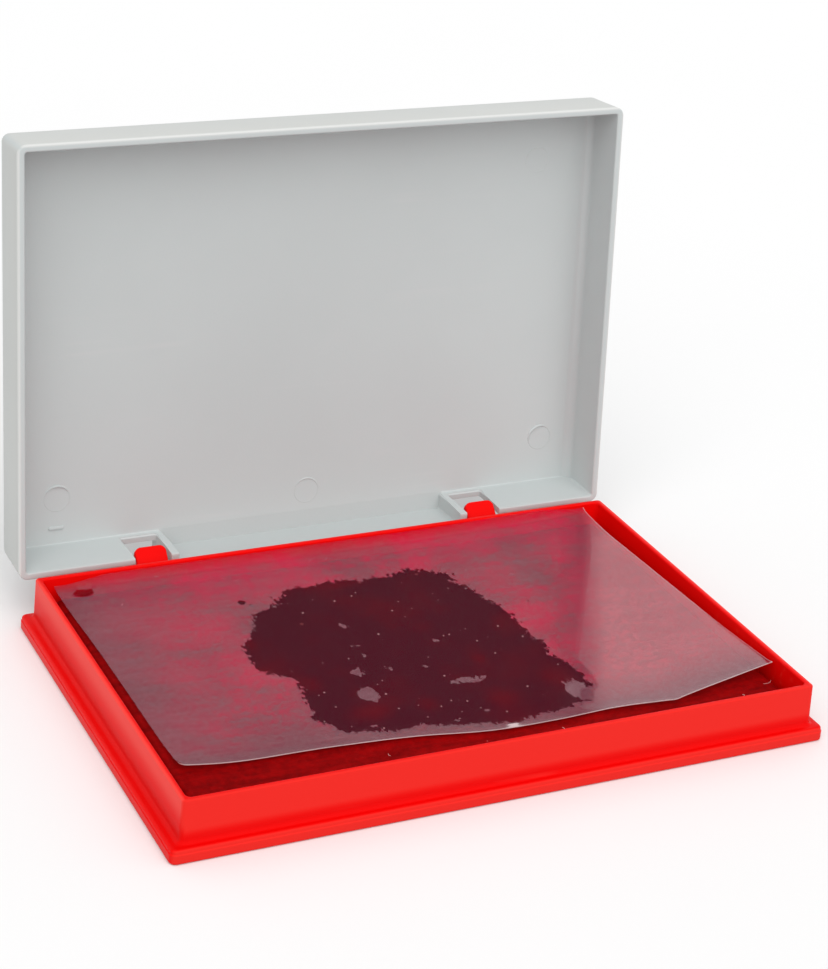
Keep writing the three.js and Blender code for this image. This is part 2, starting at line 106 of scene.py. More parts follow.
class NodeSheet:
    """Places and links the nodes of one shader tree."""

    COLOUR_INPUTS = (6, 7)
    COLOUR_OUTPUT = 2

    def __init__(self, tree: bpy.types.NodeTree) -> None:
        """Take the tree that nodes go into."""
        self.tree = tree

    def add(self, kind: str, **values: object) -> bpy.types.Node:
        """Place one node.

        Args:
            kind: Blender's node type.
            values: Socket defaults, with blanks written as underscores, or node settings.

        Returns:
            The new node.
        """
        node = self.tree.nodes.new(kind)
        for name, value in values.items():
            if hasattr(node, name):
                setattr(node, name, value)
            else:
                self.feed(value, node.inputs[name.replace("_", " ")])
        return node

    def feed(self, value: object, socket: NodeSocket) -> None:
        """Link a socket to another, or set its default.

        Args:
            value: The socket to link from, or the default.
            socket: The socket that takes it.
        """
        if isinstance(value, NodeSocket):
            self.tree.links.new(value, socket)
        else:
            socket.default_value = value

    def math(self, operation: str, first: object, second: object = 0.0) -> NodeSocket:
        """Place one arithmetic step.

        Args:
            operation: Blender's name of the step.
            first: A value or a socket.
            second: A value or a socket, where the step takes two.

        Returns:
            The result's socket.
        """
        node = self.tree.nodes.new("ShaderNodeMath")
        node.operation = operation
        self.feed(first, node.inputs[0])
        self.feed(second, node.inputs[1])
        return node.outputs[0]

    def plus(self, first: object, second: object) -> NodeSocket:
        """Return the sum of two values."""
        return self.math("ADD", first, second)

    def less(self, first: object, second: object) -> NodeSocket:
        """Return the first value less the second."""
        return self.math("SUBTRACT", first, second)

    def times(self, first: object, second: object) -> NodeSocket:
        """Return the product of two values."""
        return self.math("MULTIPLY", first, second)

    def larger(self, first: object, second: object) -> NodeSocket:
        """Return the larger of two values."""
        return self.math("MAXIMUM", first, second)

    def rest(self, share: object) -> NodeSocket:
        """Return what a share leaves of 1."""
        return self.less(1.0, share)

    def between(self, share: object, first: object, second: object) -> NodeSocket:
        """Return a value between two values, by a share from 0 to 1."""
        return self.plus(first, self.times(share, self.less(second, first)))

    def ramp(
        self,
        value: object,
        low: float,
        high: float,
        to_low: float = 0.0,
        to_high: float = 1.0,
        eased: bool = False,
    ) -> NodeSocket:
        """Map a value from one range to another, held at its ends.

        Args:
            value: What is mapped.
            low: Start of the range read.
            high: End of the range read.
            to_low: Start of the range given.
            to_high: End of the range given.
            eased: Whether the change starts and stops gently.

        Returns:
            The mapped value's socket.
        """
        node = self.tree.nodes.new("ShaderNodeMapRange")
        node.interpolation_type = "SMOOTHSTEP" if eased else "LINEAR"
        for index, part in enumerate((value, low, high, to_low, to_high)):
            self.feed(part, node.inputs[index])
        return node.outputs[0]

    def mix(self, share: object, first: object, second: object) -> NodeSocket:
        """Place a blend of two colours.

        Args:
            share: How much of the second colour, from 0 to 1.
            first: A colour or a socket.
            second: A colour or a socket.

        Returns:
            The blend's socket.
        """
        node = self.tree.nodes.new("ShaderNodeMix")
        node.data_type = "RGBA"
        self.feed(share, node.inputs[0])
        for index, colour in zip(self.COLOUR_INPUTS, (first, second)):
            self.feed(as_colour(colour), node.inputs[index])
        return node.outputs[self.COLOUR_OUTPUT]

    def place(self) -> NodeSocket:
        """Return the object's own coordinates, in metres."""
        return self.add("ShaderNodeTexCoord").outputs["Object"]

    def axes(self) -> bpy.types.NodeOutputs:
        """Return the object's own coordinates one by one, by the names X, Y and Z."""
        return self.add("ShaderNodeSeparateXYZ", Vector=self.place()).outputs

    def stored(self, value: Stored) -> NodeSocket:
        """Return a value that is stored on the mesh."""
        return self.add("ShaderNodeAttribute", attribute_name=value.value).outputs["Fac"]

    def noise(self, where: NodeSocket, scale: object, detail: float = 2.0) -> NodeSocket:
        """Return a smooth noise value from 0 to 1 at a number of features per metre."""
        return self.add("ShaderNodeTexNoise", Vector=where, Scale=scale, Detail=detail).outputs[0]

    def stretch(self, where: NodeSocket, factors: Point) -> NodeSocket:
        """Return coordinates scaled by a factor along each axis."""
        return self.add("ShaderNodeMapping", Vector=where, Scale=factors).outputs[0]

    def bump(self, height: NodeSocket, strength: float, depth_mm: float) -> NodeSocket:
        """Return a normal raised by a height of 0 to 1 over a depth in millimetres."""
        node = self.add("ShaderNodeBump", Strength=strength, Distance=depth_mm * MM, Height=height)
        return node.outputs[0]

    def seen(self) -> NodeSocket:
        """Tell rays that the eye follows, by reflection or through clear things too, from the rest.

        Returns:
            1 for such rays, or else 0.
        """
        rays = self.add("ShaderNodeLightPath").outputs
        straight = self.larger(rays["Is Camera Ray"], rays["Is Glossy Ray"])
        return self.larger(straight, rays["Is Transmission Ray"])


def as_colour(value: object) -> object:
    """Return a colour with its alpha, or a socket as it is."""
    return value if isinstance(value, NodeSocket) else (*value, 1.0)


class EffectGroup:
    """A shader node group with named inputs and outputs, made once and placed in materials."""

    made: dict[Effect, bpy.types.NodeTree] = {}

    def __init__(self, effect: Effect, inputs: dict[str, float], outputs: tuple[str, ...]) -> None:
        """Make the group's sockets and its two end nodes.

        Args:
            effect: Which group it is.
            inputs: Its inputs, each with its default.
            outputs: Its outputs.
        """
        self.tree = bpy.data.node_groups.new(effect.value, "ShaderNodeTree")
        for label, start in inputs.items():
            socket = self.tree.interface.new_socket(label, in_out="INPUT", socket_type="NodeSocketFloat")
            socket.default_value = start
        for label in outputs:
            self.tree.interface.new_socket(label, in_out="OUTPUT", socket_type="NodeSocketFloat")
        self.sheet = NodeSheet(self.tree)
        self.given = self.tree.nodes.new("NodeGroupInput").outputs
        self.end = self.tree.nodes.new("NodeGroupOutput")
        EffectGroup.made[effect] = self.tree

    def put_out(self, **values: NodeSocket) -> None:
        """Link sockets to the group's outputs by name."""
        for label, socket in values.items():
            self.tree.links.new(socket, self.end.inputs[label])

    @classmethod
    def use(cls, sheet: NodeSheet, effect: Effect, **values: float) -> bpy.types.NodeOutputs:
        """Place a group that was made before in a material.

        Args:
            sheet: The material's nodes.
            effect: Which group.
            values: Its inputs, with blanks written as underscores.

        Returns:
            The outputs of the group's node.
        """
        node = sheet.tree.nodes.new("ShaderNodeGroup")
        node.node_tree = cls.made[effect]
        for label, value in values.items():
            sheet.feed(value, node.inputs[label.replace("_", " ")])
        return node.outputs


@dataclass(frozen=True)
class MouldedSkin:
    """Group for moulded plastic: a fine grain, a cloudy tone and faint rubbed streaks."""

    grain_scale: float = 2500.0
    grain_detail: float = 3.0
    cloud_scale: float = 30.0
    cloud_detail: float = 4.0
    cloud_span: Pair = (0.3, 0.7)
    streak_stretch: Point = (14.0, 900.0, 500.0)
    streak_detail: float = 3.0
    streak_span: Pair = (0.6, 0.75)
    patch_scale: float = 45.0
    patch_span: Pair = (0.5, 0.7)

    def make(self) -> None:
        """Make the group, with the scales of grain and cloud as its inputs."""
        inputs = {"Grain Scale": self.grain_scale, "Cloud Scale": self.cloud_scale}
        group = EffectGroup(Effect.SKIN, inputs, ("Grain", "Cloud", "Rub"))
        sheet = group.sheet
        where = sheet.place()
        grain = sheet.noise(where, group.given["Grain Scale"], self.grain_detail)
        cloud = sheet.noise(where, group.given["Cloud Scale"], self.cloud_detail)
        streaks = sheet.noise(sheet.stretch(where, self.streak_stretch), 1.0, self.streak_detail)
        patches = sheet.ramp(sheet.noise(where, self.patch_scale), *self.patch_span)
        rub = sheet.times(sheet.ramp(streaks, *self.streak_span), patches)
        group.put_out(Grain=grain, Cloud=sheet.ramp(cloud, *self.cloud_span), Rub=rub)


@dataclass(frozen=True)
class PlainWeave:
    """Group for close-woven cloth: the height of over-and-under threads, and their uneven tone."""

    threads: float = 1900.0
    slub_stretch: Point = (90.0, 700.0, 90.0)
    slub_span: Pair = (0.3, 0.7)

    def make(self) -> None:
        """Make the group, with the number of threads in a metre as its input."""
        group = EffectGroup(Effect.WEAVE, {"Threads": self.threads}, ("Height", "Tone"))
        sheet = group.sheet
        axes = sheet.axes()
        turn = sheet.times(group.given["Threads"], math.pi)
        along = sheet.math("SINE", sheet.times(axes["X"], turn))
        across = sheet.math("SINE", sheet.times(axes["Y"], turn))
        height = sheet.ramp(sheet.times(along, across), -1.0, 1.0)
        slubs = sheet.noise(sheet.stretch(sheet.place(), self.slub_stretch), 1.0)
        group.put_out(Height=height, Tone=sheet.ramp(slubs, *self.slub_span))


@dataclass(frozen=True)
class InkSpread:
    """Group for wet ink: a mask with a ragged edge, from the reach stored on the mesh, and its depth."""

    ragged: float = 1.0
    fine_stretch: Point = (1.3, 0.8, 1.0)
    fine_scale: float = 1050.0
    fine_detail: float = 3.0
    patch_scale: float = 70.0
    patch_detail: float = 1.0
    patch_span: Pair = (0.4, 0.65)
    patch_strength: Pair = (3.5, 4.4)
    broad_scale: float = 420.0
    broad_strength: float = 2.0
    edge_span: Pair = (-0.1, 0.12)
    cloud_scale: float = 95.0
    cloud_detail: float = 4.0
    cloud_span: Pair = (0.5, 0.8)
    cloud_most: float = 0.7

    def make(self) -> None:
        """Make the group, with the strength of the raggedness as its input."""
        group = EffectGroup(Effect.INK, {"Ragged": self.ragged}, ("Wet", "Depth"))
        sheet = group.sheet
        where = sheet.place()
        fine = sheet.noise(sheet.stretch(where, self.fine_stretch), self.fine_scale, self.fine_detail)
        patches = sheet.noise(where, self.patch_scale, self.patch_detail)
        strength = sheet.ramp(patches, *self.patch_span, *self.patch_strength)
        small = sheet.times(sheet.less(fine, NOISE_MIDDLE), strength)
        broad = sheet.less(sheet.noise(where, self.broad_scale), NOISE_MIDDLE)
        rough = sheet.plus(small, sheet.times(broad, self.broad_strength))
        edge = sheet.plus(sheet.stored(Stored.INK_REACH), sheet.times(rough, group.given["Ragged"]))
        clouds = sheet.noise(where, self.cloud_scale, self.cloud_detail)
        thin = sheet.ramp(clouds, *self.cloud_span, 0.0, self.cloud_most)
        thin = sheet.math("MINIMUM", sheet.plus(thin, sheet.stored(Stored.INK_THIN)), 1.0)
        group.put_out(Wet=sheet.ramp(edge, *self.edge_span), Depth=thin)


@dataclass(frozen=True)
class FineDust:
    """Group for dust: small specks strewn over a surface."""

    spread: float = 400.0
    size: float = 0.12
    share: float = 0.1
    least: float = 0.4

    def make(self) -> None:
        """Make the group, with the specks' number in a metre, their size and their share as its inputs."""
        inputs = {"Spread": self.spread, "Size": self.size, "Share": self.share}
        group = EffectGroup(Effect.DUST, inputs, ("Specks",))
        sheet = group.sheet
        cells = sheet.add("ShaderNodeTexVoronoi", Vector=sheet.place(), Scale=group.given["Spread"])
        chance = sheet.add("ShaderNodeSeparateColor", Color=cells.outputs["Color"])
        kept = sheet.math("LESS_THAN", chance.outputs[0], group.given["Share"])
        girth = sheet.times(group.given["Size"], sheet.plus(chance.outputs[1], self.least))
        inside = sheet.math("LESS_THAN", cells.outputs["Distance"], girth)
        group.put_out(Specks=sheet.times(kept, inside))


# Finishes


def new_material(name: str) -> tuple[bpy.types.Material, NodeSheet, bpy.types.Node]:
    """Make an empty node material.

    Args:
        name: The material's name.

    Returns:
        The material, its nodes and its Principled shader.
    """
    material = bpy.data.materials.new(name)
    material.use_nodes = True
    material.node_tree.nodes.clear()
    sheet = NodeSheet(material.node_tree)
    shader = sheet.add("ShaderNodeBsdfPrincipled")
    end = sheet.add("ShaderNodeOutputMaterial")
    sheet.feed(shader.outputs[0], end.inputs["Surface"])
    return material, sheet, shader


@dataclass(frozen=True)
class MouldedPlastic:
    """Satin moulded plastic with a fine grain, a cloudy tone and faint rubbed streaks."""

    name: str
    colour: Colour
    cloudy: Colour
    rubbed: Colour
    roughness: float
    grain_depth: float
    grain_strength: float = 0.5
    grain_scale: float = 2500.0
    cloud_scale: float = 30.0
    specular: float = 0.5
    rub_share: float = 0.35
    rub_roughness: float = 0.3
    smoother: float = 0.04
    rougher: float = 0.05

    def material(self) -> bpy.types.Material:
        """Make the plastic's material.

        Returns:
            The material.
        """
        material, sheet, shader = new_material(self.name)
        skin = EffectGroup.use(sheet, Effect.SKIN, Grain_Scale=self.grain_scale, Cloud_Scale=self.cloud_scale)
        tone = self.shade(sheet, sheet.mix(skin["Cloud"], self.colour, self.cloudy))
        rub = sheet.times(skin["Rub"], self.rub_share)
        sheet.feed(sheet.mix(rub, tone, self.rubbed), shader.inputs["Base Color"])
        limits = (self.roughness - self.smoother, self.roughness + self.rougher)
        rough = sheet.ramp(skin["Cloud"], 0.0, 1.0, *limits)
        sheet.feed(sheet.plus(rough, sheet.times(rub, self.rub_roughness)), shader.inputs["Roughness"])
        grain = sheet.bump(skin["Grain"], self.grain_strength, self.grain_depth)
        sheet.feed(grain, shader.inputs["Normal"])
        shader.inputs["Specular IOR Level"].default_value = self.specular
        return material

    def shade(self, sheet: NodeSheet, tone: NodeSocket) -> NodeSocket:
        """Return the plastic's colour from its cloudy tone."""
        return tone


@dataclass(frozen=True)
class PaintedLightPlastic(MouldedPlastic):
    """Moulded plastic of a tray with painted light on its outer walls: a painted reflection makes them paler
    towards the rim, and painted shade makes them deeper at their foot and on the flange.
    """

    # The first two colours are a painted reflection of the bright surroundings on the outer walls. The third
    # is painted shade at the walls' foot and on the side flange.
    pale: Colour = (0.97, 0.06, 0.048)
    front_painted_reflection: Colour = (0.83, 0.023, 0.017)
    painted_foot_shade: Colour = (0.76, 0.001, 0.001)
    wall_half: Pair = (58.3, 38.3)
    flange_front: float = 40.0
    side_shade_foot: Pair = (4.2, 6.2)
    front_foot: Pair = (3.3, 5.4)
    side_reflection_heights: Pair = (5.6, 9.2)
    flange_top: Pair = (2.4, 2.55)
    foot_shade_share: float = 0.9
    blend: float = 0.5

    def shade(self, sheet: NodeSheet, tone: NodeSocket) -> NodeSocket:
        """Paint a paler reflection towards the walls' top, and painted shade on the flange and at the walls'
        foot.

        Args:
            sheet: The material's nodes.
            tone: The plastic's cloudy tone.

        Returns:
            The plastic's colour.
        """
        axes = sheet.axes()
        height = axes["Z"]
        half_x, half_y = self.wall_half
        sides = sheet.ramp(sheet.math("ABSOLUTE", axes["X"]), half_x * MM, (half_x + self.blend) * MM)
        front = self.before(sheet, axes["Y"], half_y)
        flange = self.before(sheet, axes["Y"], self.flange_front)
        over_flange = self.rise(sheet, height, self.flange_top)
        over_foot = self.rise(sheet, height, self.front_foot)
        # Painted reflection: the side walls grow paler towards the rim, and the front wall and the flange's
        # front face take a paler front tone.
        side_reflection_mask = sheet.times(sides, self.rise(sheet, height, self.side_reflection_heights))
        front_reflection_mask = sheet.times(front, over_foot)
        flange_reflection_mask = sheet.times(flange, sheet.rest(over_flange))
        reflected_tone = sheet.mix(side_reflection_mask, tone, self.pale)
        reflected_tone = sheet.mix(sheet.larger(front_reflection_mask, flange_reflection_mask), reflected_tone, self.front_painted_reflection)
        # Painted shade: the walls' foot and the flange's top turn deep red, as if in shadow.
        side_shade_mask = sheet.times(sides, sheet.rest(self.rise(sheet, height, self.side_shade_foot)))
        front_shade_mask = sheet.times(front, sheet.rest(over_foot))
        low = sheet.times(sheet.larger(side_shade_mask, front_shade_mask), over_flange)
        return sheet.mix(sheet.times(low, self.foot_shade_share), reflected_tone, self.painted_foot_shade)

    def before(self, sheet: NodeSheet, across: NodeSocket, line: float) -> NodeSocket:
        """Return a mask of what lies in front of a line, in millimetres before the middle."""
        return sheet.ramp(across, -line * MM, -(line + self.blend) * MM)

    def rise(self, sheet: NodeSheet, height: NodeSocket, heights: Pair) -> NodeSocket:
        """Return a mask that grows from 0 to 1 between two heights in millimetres."""
        return sheet.ramp(height, heights[0] * MM, heights[1] * MM, eased=True)


@dataclass(frozen=True)
class LidLie:
    """How the open lid stands: the place of its lower rear edge, and how far it leans back."""

    tilt: float = 4.3
    rear_y: float = 42.737
    rear_z: float = 8.689

    @property
    def sine(self) -> float:
        """Return the sine of the lean."""
        return math.sin(math.radians(self.tilt))

    @property
    def cosine(self) -> float:
        """Return the cosine of the lean."""
        return math.cos(math.radians(self.tilt))


@dataclass(frozen=True)
class RimmedPlastic(MouldedPlastic):
    """Moulded plastic of a lid, warmer on its outer faces, with a painted highlight along its rim's outer
    edge.
    """

    outer: Colour = (0.574, 0.585, 0.565)
    # Colour of the painted highlight where the rim's rounded outer edge catches the light.
    edge: Colour = (0.71, 0.715, 0.7)
    half_x: float = 60.7
    front_face: float = 81.4
    skin: float = 0.5
    highlight_depth: float = 0.55
    highlight_fade: float = 1.6
    lie: LidLie = LidLie()

    def shade(self, sheet: NodeSheet, tone: NodeSocket) -> NodeSocket:
        """Make the tone warmer on the outer faces, and paint a paler highlight there within a short way of
        the rim.

        Args:
            sheet: The material's nodes.
            tone: The plastic's cloudy tone.

        Returns:
            The plastic's colour.
        """
        axes = sheet.axes()
        sine, cosine = self.lie.sine, self.lie.cosine
        back = sheet.less(axes["Y"], self.lie.rear_y * MM)
        up = sheet.less(axes["Z"], self.lie.rear_z * MM)
        depth = sheet.less(sheet.times(back, cosine), sheet.times(up, sine))
        along = sheet.plus(sheet.times(back, sine), sheet.times(up, cosine))
        aside = sheet.math("ABSOLUTE", axes["X"])
        sides = sheet.ramp(aside, (self.half_x - self.skin) * MM, self.half_x * MM)
        front = sheet.ramp(along, (self.front_face - self.skin) * MM, self.front_face * MM)
        rim_highlight_mask = sheet.ramp(depth, self.highlight_depth * MM, self.highlight_fade * self.highlight_depth * MM, 1.0, 0.0)
        outside = sheet.larger(sides, front)
        warm = sheet.mix(outside, tone, self.outer)
        # The edge colour is a painted highlight along the rim's outer edge.
        return sheet.mix(sheet.times(outside, rim_highlight_mask), warm, self.edge)


@dataclass(frozen=True)
class InkedCloth:
    """Close-woven cloth soaked with ink, darker where the film is pressed on it, with painted shade on its
    sides.
    """

    name: str = "inked_cloth"
    thread: Colour = (0.34, 0.0014, 0.002)
    hollow: Colour = (0.165, 0.0006, 0.0012)
    soaked: Colour = (0.092, 0.005, 0.016)
    soaked_thin: Colour = (0.16, 0.003, 0.012)
    # Painted shade on the cloth's sides, down in the narrow gap by the tray's walls.
    side: Colour = (0.06, 0.0005, 0.0008)
    lint: Colour = (0.6, 0.16, 0.16)
    lint_share: float = 0.5
    side_shade_foot: float = 5.4
    side_shade_top: float = 7.12
    threads: float = 2600.0
    thread_relief: float = 0.4
    ragged: float = 1.0
    dust_spread: float = 420.0
    dust_size: float = 0.14
    dust_share: float = 0.05
    fluff_scale: float = 900.0
    fluff_detail: float = 5.0
    fluff_span: Pair = (0.35, 0.7)
    roughness_dry: float = 0.6
    roughness_wet: float = 0.4
    relief_strength: float = 0.5
    relief_depth: float = 0.06
    specular: float = 0.02

    def material(self) -> bpy.types.Material:
        """Make the cloth's material.

        Returns:
            The material.
        """
        material, sheet, shader = new_material(self.name)
        weave = EffectGroup.use(sheet, Effect.WEAVE, Threads=self.threads)
        ink = EffectGroup.use(sheet, Effect.INK, Ragged=self.ragged)
        strewn = {"Spread": self.dust_spread, "Size": self.dust_size, "Share": self.dust_share}
        dust = EffectGroup.use(sheet, Effect.DUST, **strewn)
        fluff = sheet.noise(sheet.place(), self.fluff_scale, self.fluff_detail)
        fluff = sheet.ramp(fluff, *self.fluff_span)
        wear = sheet.times(sheet.plus(weave["Tone"], fluff), 0.5)
        dry = sheet.mix(wear, self.hollow, self.thread)
        wet = sheet.mix(ink["Depth"], self.soaked, self.soaked_thin)
        # Painted shade: below the top, the sides turn to the dark side colour.
        top = sheet.ramp(sheet.axes()["Z"], self.side_shade_foot * MM, self.side_shade_top * MM)
        tone = sheet.mix(top, self.side, sheet.mix(ink["Wet"], dry, wet))
        specks = sheet.times(dust["Specks"], self.lint_share)
        sheet.feed(sheet.mix(specks, tone, self.lint), shader.inputs["Base Color"])
        rough = sheet.ramp(ink["Wet"], 0.0, 1.0, self.roughness_dry, self.roughness_wet)
        sheet.feed(rough, shader.inputs["Roughness"])
        relief = sheet.plus(sheet.times(weave["Height"], self.thread_relief), fluff)
        sheet.feed(sheet.bump(relief, self.relief_strength, self.relief_depth), shader.inputs["Normal"])
        shader.inputs["Specular IOR Level"].default_value = self.specular
        return material


@dataclass(frozen=True)
class InkFelt:
    """Thick felt, soaked through."""

    name: str = "ink_felt"
    fibre: Colour = (0.26, 0.01, 0.012)
    pore: Colour = (0.1, 0.002, 0.004)
    fibre_stretch: Point = (1.0, 1.0, 2.5)
    fibre_scale: float = 1600.0
    fibre_detail: float = 5.0
    grain_scale: float = 700.0
    cloud_scale: float = 60.0
    roughness: Pair = (0.8, 1.0)
    relief_strength: float = 0.8
    relief_depth: float = 0.2

    def material(self) -> bpy.types.Material:
        """Make the felt's material.

        Returns:
            The material.
        """
        material, sheet, shader = new_material(self.name)
        where = sheet.stretch(sheet.place(), self.fibre_stretch)
        fibres = sheet.noise(where, self.fibre_scale, self.fibre_detail)
        skin = EffectGroup.use(sheet, Effect.SKIN, Grain_Scale=self.grain_scale, Cloud_Scale=self.cloud_scale)
        share = sheet.times(fibres, skin["Cloud"])
        sheet.feed(sheet.mix(share, self.pore, self.fibre), shader.inputs["Base Color"])
        sheet.feed(sheet.ramp(fibres, 0.0, 1.0, *self.roughness), shader.inputs["Roughness"])
        sheet.feed(sheet.bump(fibres, self.relief_strength, self.relief_depth), shader.inputs["Normal"])
        return material


@dataclass(frozen=True)
class ClearFilm:
    """Thin clear film: glossy and hazy over air, nearly gone where the ink holds it to the pad, with a
    painted highlight along its edges.
    """

    name: str = "clear_film"
    haze: Colour = (0.76, 0.012, 0.085)
    # Tone where the film is not pressed onto the inked cloth: near its left and front edges and round
    # bubbles. Along the front edge it is partly painted shade under the lifted edge.
    dull: Colour = (0.27, 0.045, 0.085)
    ink: Colour = (0.094, 0.0085, 0.02)
    ink_thin: Colour = (0.17, 0.005, 0.014)
    speck: Colour = (0.52, 0.26, 0.28)
    # Colour of the painted highlight along the film's cut edges and at one small glint.
    rim: Colour = (0.95, 0.74, 0.75)
    # Tone where the film stands loose over air. It is partly the film's own haze over the air gap, and partly
    # a painted reflection of the bright lid and surroundings.
    pale: Colour = (0.95, 0.09, 0.155)
    ragged: float = 1.0
    dust_spread: float = 800.0
    dust_size: float = 0.13
    dust_share: float = 0.13
    edge_highlight_span: Pair = (0.55, 0.95)
    cloud_scale: float = 85.0
    cloud_detail: float = 5.0
    cloud_span: Pair = (0.34, 0.66)
    streak_stretch: Point = (190.0, 620.0, 190.0)
    streak_detail: float = 6.0
    streak_span: Pair = (0.36, 0.64)
    grain_scale: float = 1200.0
    grain_detail: float = 4.0
    grain_span: Pair = (0.4, 0.6)
    grain_share: float = 0.5
    mottle_share: float = 0.6
    mottle_span: Pair = (0.2, 0.8)
    laid_haze: Pair = (0.05, 1.0)
    loose_haze: Pair = (0.36, 0.7)
    loose_grain: float = 0.4
    alpha_air: float = 0.43
    alpha_swing: float = 0.05
    alpha_ink: float = 0.3
    alpha_mark: float = 0.7
    gloss_least: float = 0.5
    gloss_clinging: float = 0.75
    roughness: float = 0.14
    smoother: float = 0.03
    rougher: float = 0.04
    specular: float = 0.06
    coat_roughness: float = 0.07
    coat_ior: float = 2.85
    ripple_scale: float = 240.0
    ripple_strength: float = 0.1
    ripple_depth: float = 0.2

    def material(self) -> bpy.types.Material:
        """Make the film's material.

        Returns:
            The material.
        """
        material, sheet, shader = new_material(self.name)
        where = sheet.place()
        spread = EffectGroup.use(sheet, Effect.INK, Ragged=self.ragged)
        strewn = {"Spread": self.dust_spread, "Size": self.dust_size, "Share": self.dust_share}
        dust = EffectGroup.use(sheet, Effect.DUST, **strewn)
        wet = spread["Wet"]
        dry = sheet.rest(wet)
        specks = sheet.times(dust["Specks"], wet)
        # Painted highlight along the film's edges and at its glint, also made more opaque below.
        line = sheet.ramp(sheet.stored(Stored.FILM_EDGE_HIGHLIGHT), *self.edge_highlight_span)
        loose = sheet.stored(Stored.FILM_LOOSE)
        clouds = sheet.ramp(sheet.noise(where, self.cloud_scale, self.cloud_detail), *self.cloud_span)
        streaks = sheet.noise(sheet.stretch(where, self.streak_stretch), 1.0, self.streak_detail)
        streaks = sheet.ramp(streaks, *self.streak_span)
        grain = sheet.ramp(sheet.noise(where, self.grain_scale, self.grain_detail), *self.grain_span)
        weave = sheet.between(self.grain_share, streaks, grain)
        mottle = sheet.between(self.mottle_share, clouds, weave)
        laid = sheet.ramp(mottle, *self.mottle_span, *self.laid_haze)
        lifted = sheet.ramp(grain, 0.0, 1.0, *self.loose_haze)
        share = sheet.times(sheet.stored(Stored.FILM_TOUCH), sheet.between(loose, laid, lifted))
        inked = sheet.mix(spread["Depth"], self.ink, self.ink_thin)
        hazy = sheet.mix(share, self.dull, sheet.mix(loose, self.haze, self.pale))
        tone = sheet.mix(specks, sheet.mix(wet, hazy, inked), self.speck)
        sheet.feed(sheet.mix(line, tone, self.rim), shader.inputs["Base Color"])
        limits = (self.alpha_air - self.alpha_swing, self.alpha_air + self.alpha_swing)
        air = sheet.times(sheet.ramp(mottle, 0.0, 1.0, *limits), dry)
        held = sheet.plus(air, sheet.times(wet, self.alpha_ink))
        held = sheet.times(held, sheet.stored(Stored.FILM_COVER))
        marks = sheet.times(sheet.larger(specks, line), self.alpha_mark)
        sheet.feed(sheet.larger(held, marks), shader.inputs["Alpha"])
        skin = sheet.between(loose, weave, sheet.times(grain, self.loose_grain))
        skin = sheet.ramp(skin, 0.0, 1.0, 1.0, self.gloss_least)
        cling = sheet.times(share, sheet.rest(loose))
        gloss = sheet.times(sheet.ramp(cling, 0.0, 1.0, 1.0, self.gloss_clinging), skin)
        mirror = sheet.times(sheet.stored(Stored.FILM_SHEEN), dry)
        sheet.feed(sheet.times(gloss, mirror), shader.inputs["Coat Weight"])
        limits = (self.roughness - self.smoother, self.roughness + self.rougher)
        sheet.feed(sheet.ramp(clouds, 0.0, 1.0, *limits), shader.inputs["Roughness"])
        shader.inputs["Specular IOR Level"].default_value = self.specular
        shader.inputs["Coat Roughness"].default_value = self.coat_roughness
        shader.inputs["Coat IOR"].default_value = self.coat_ior
        ripple = sheet.noise(where, self.ripple_scale)
        sheet.feed(sheet.bump(ripple, self.ripple_strength, self.ripple_depth), shader.inputs["Normal"])
        return material


@dataclass(frozen=True)
class PaleLint:
    """Short pale fibres."""

    name: str = "pale_lint"
    colour: Colour = (0.72, 0.6, 0.58)
    stained: Colour = (0.7, 0.3, 0.3)
    stain_scale: float = 500.0
    stain_span: Pair = (0.4, 0.6)
    roughness: float = 0.7

    def material(self) -> bpy.types.Material:
        """Make the fibres' material.

        Returns:
            The material.
        """
        material, sheet, shader = new_material(self.name)
        share = sheet.ramp(sheet.noise(sheet.place(), self.stain_scale), *self.stain_span)
        sheet.feed(sheet.mix(share, self.colour, self.stained), shader.inputs["Base Color"])
        shader.inputs["Roughness"].default_value = self.roughness
        return material


@dataclass(frozen=True)
class StudioFloor:
    """Plain pale floor."""

    name: str = "studio_floor"
    colour: Colour = (0.92, 0.92, 0.92)
    bounce: Colour = (0.66, 0.66, 0.66)
    softer: float = 0.995
    cloud_scale: float = 6.0
    cloud_span: Pair = (0.3, 0.7)
    roughness: float = 0.9

    def material(self) -> bpy.types.Material:
        """Make the floor's material, which gives back less light to other things than to the eye.

        Returns:
            The material.
        """
        material, sheet, shader = new_material(self.name)
        cloud = sheet.ramp(sheet.noise(sheet.place(), self.cloud_scale), *self.cloud_span)
        shown = sheet.mix(cloud, self.colour, tuple(channel * self.softer for channel in self.colour))
        sheet.feed(sheet.mix(sheet.seen(), self.bounce, shown), shader.inputs["Base Color"])
        shader.inputs["Roughness"].default_value = self.roughness
        shader.inputs["Specular IOR Level"].default_value = 0.0
        return material


# Mesh helpers


def mesh_object(name: str, points: np.ndarray, faces: list[Face], sharp: float = 40.0) -> bpy.types.Object:
    """Make a smooth-shaded mesh object in the scene.

    Args:
        name: The object's name.
        points: Corner points in metres.
        faces: Corner numbers of each face.
        sharp: Angle in degrees over which an edge stays sharp.

    Returns:
        The new object.
    """
    mesh = bpy.data.meshes.new(name)
    mesh.from_pydata([tuple(p) for p in points], [], faces)
    mesh.validate()
    mesh.polygons.foreach_set("use_smooth", [True] * len(mesh.polygons))
    mesh.set_sharp_from_angle(angle=math.radians(sharp))
    mesh.update()
    return link(bpy.data.objects.new(name, mesh))


def link(obj: bpy.types.Object) -> bpy.types.Object:
    """Put an object into the scene and return it."""
    bpy.context.scene.collection.objects.link(obj)
    return obj


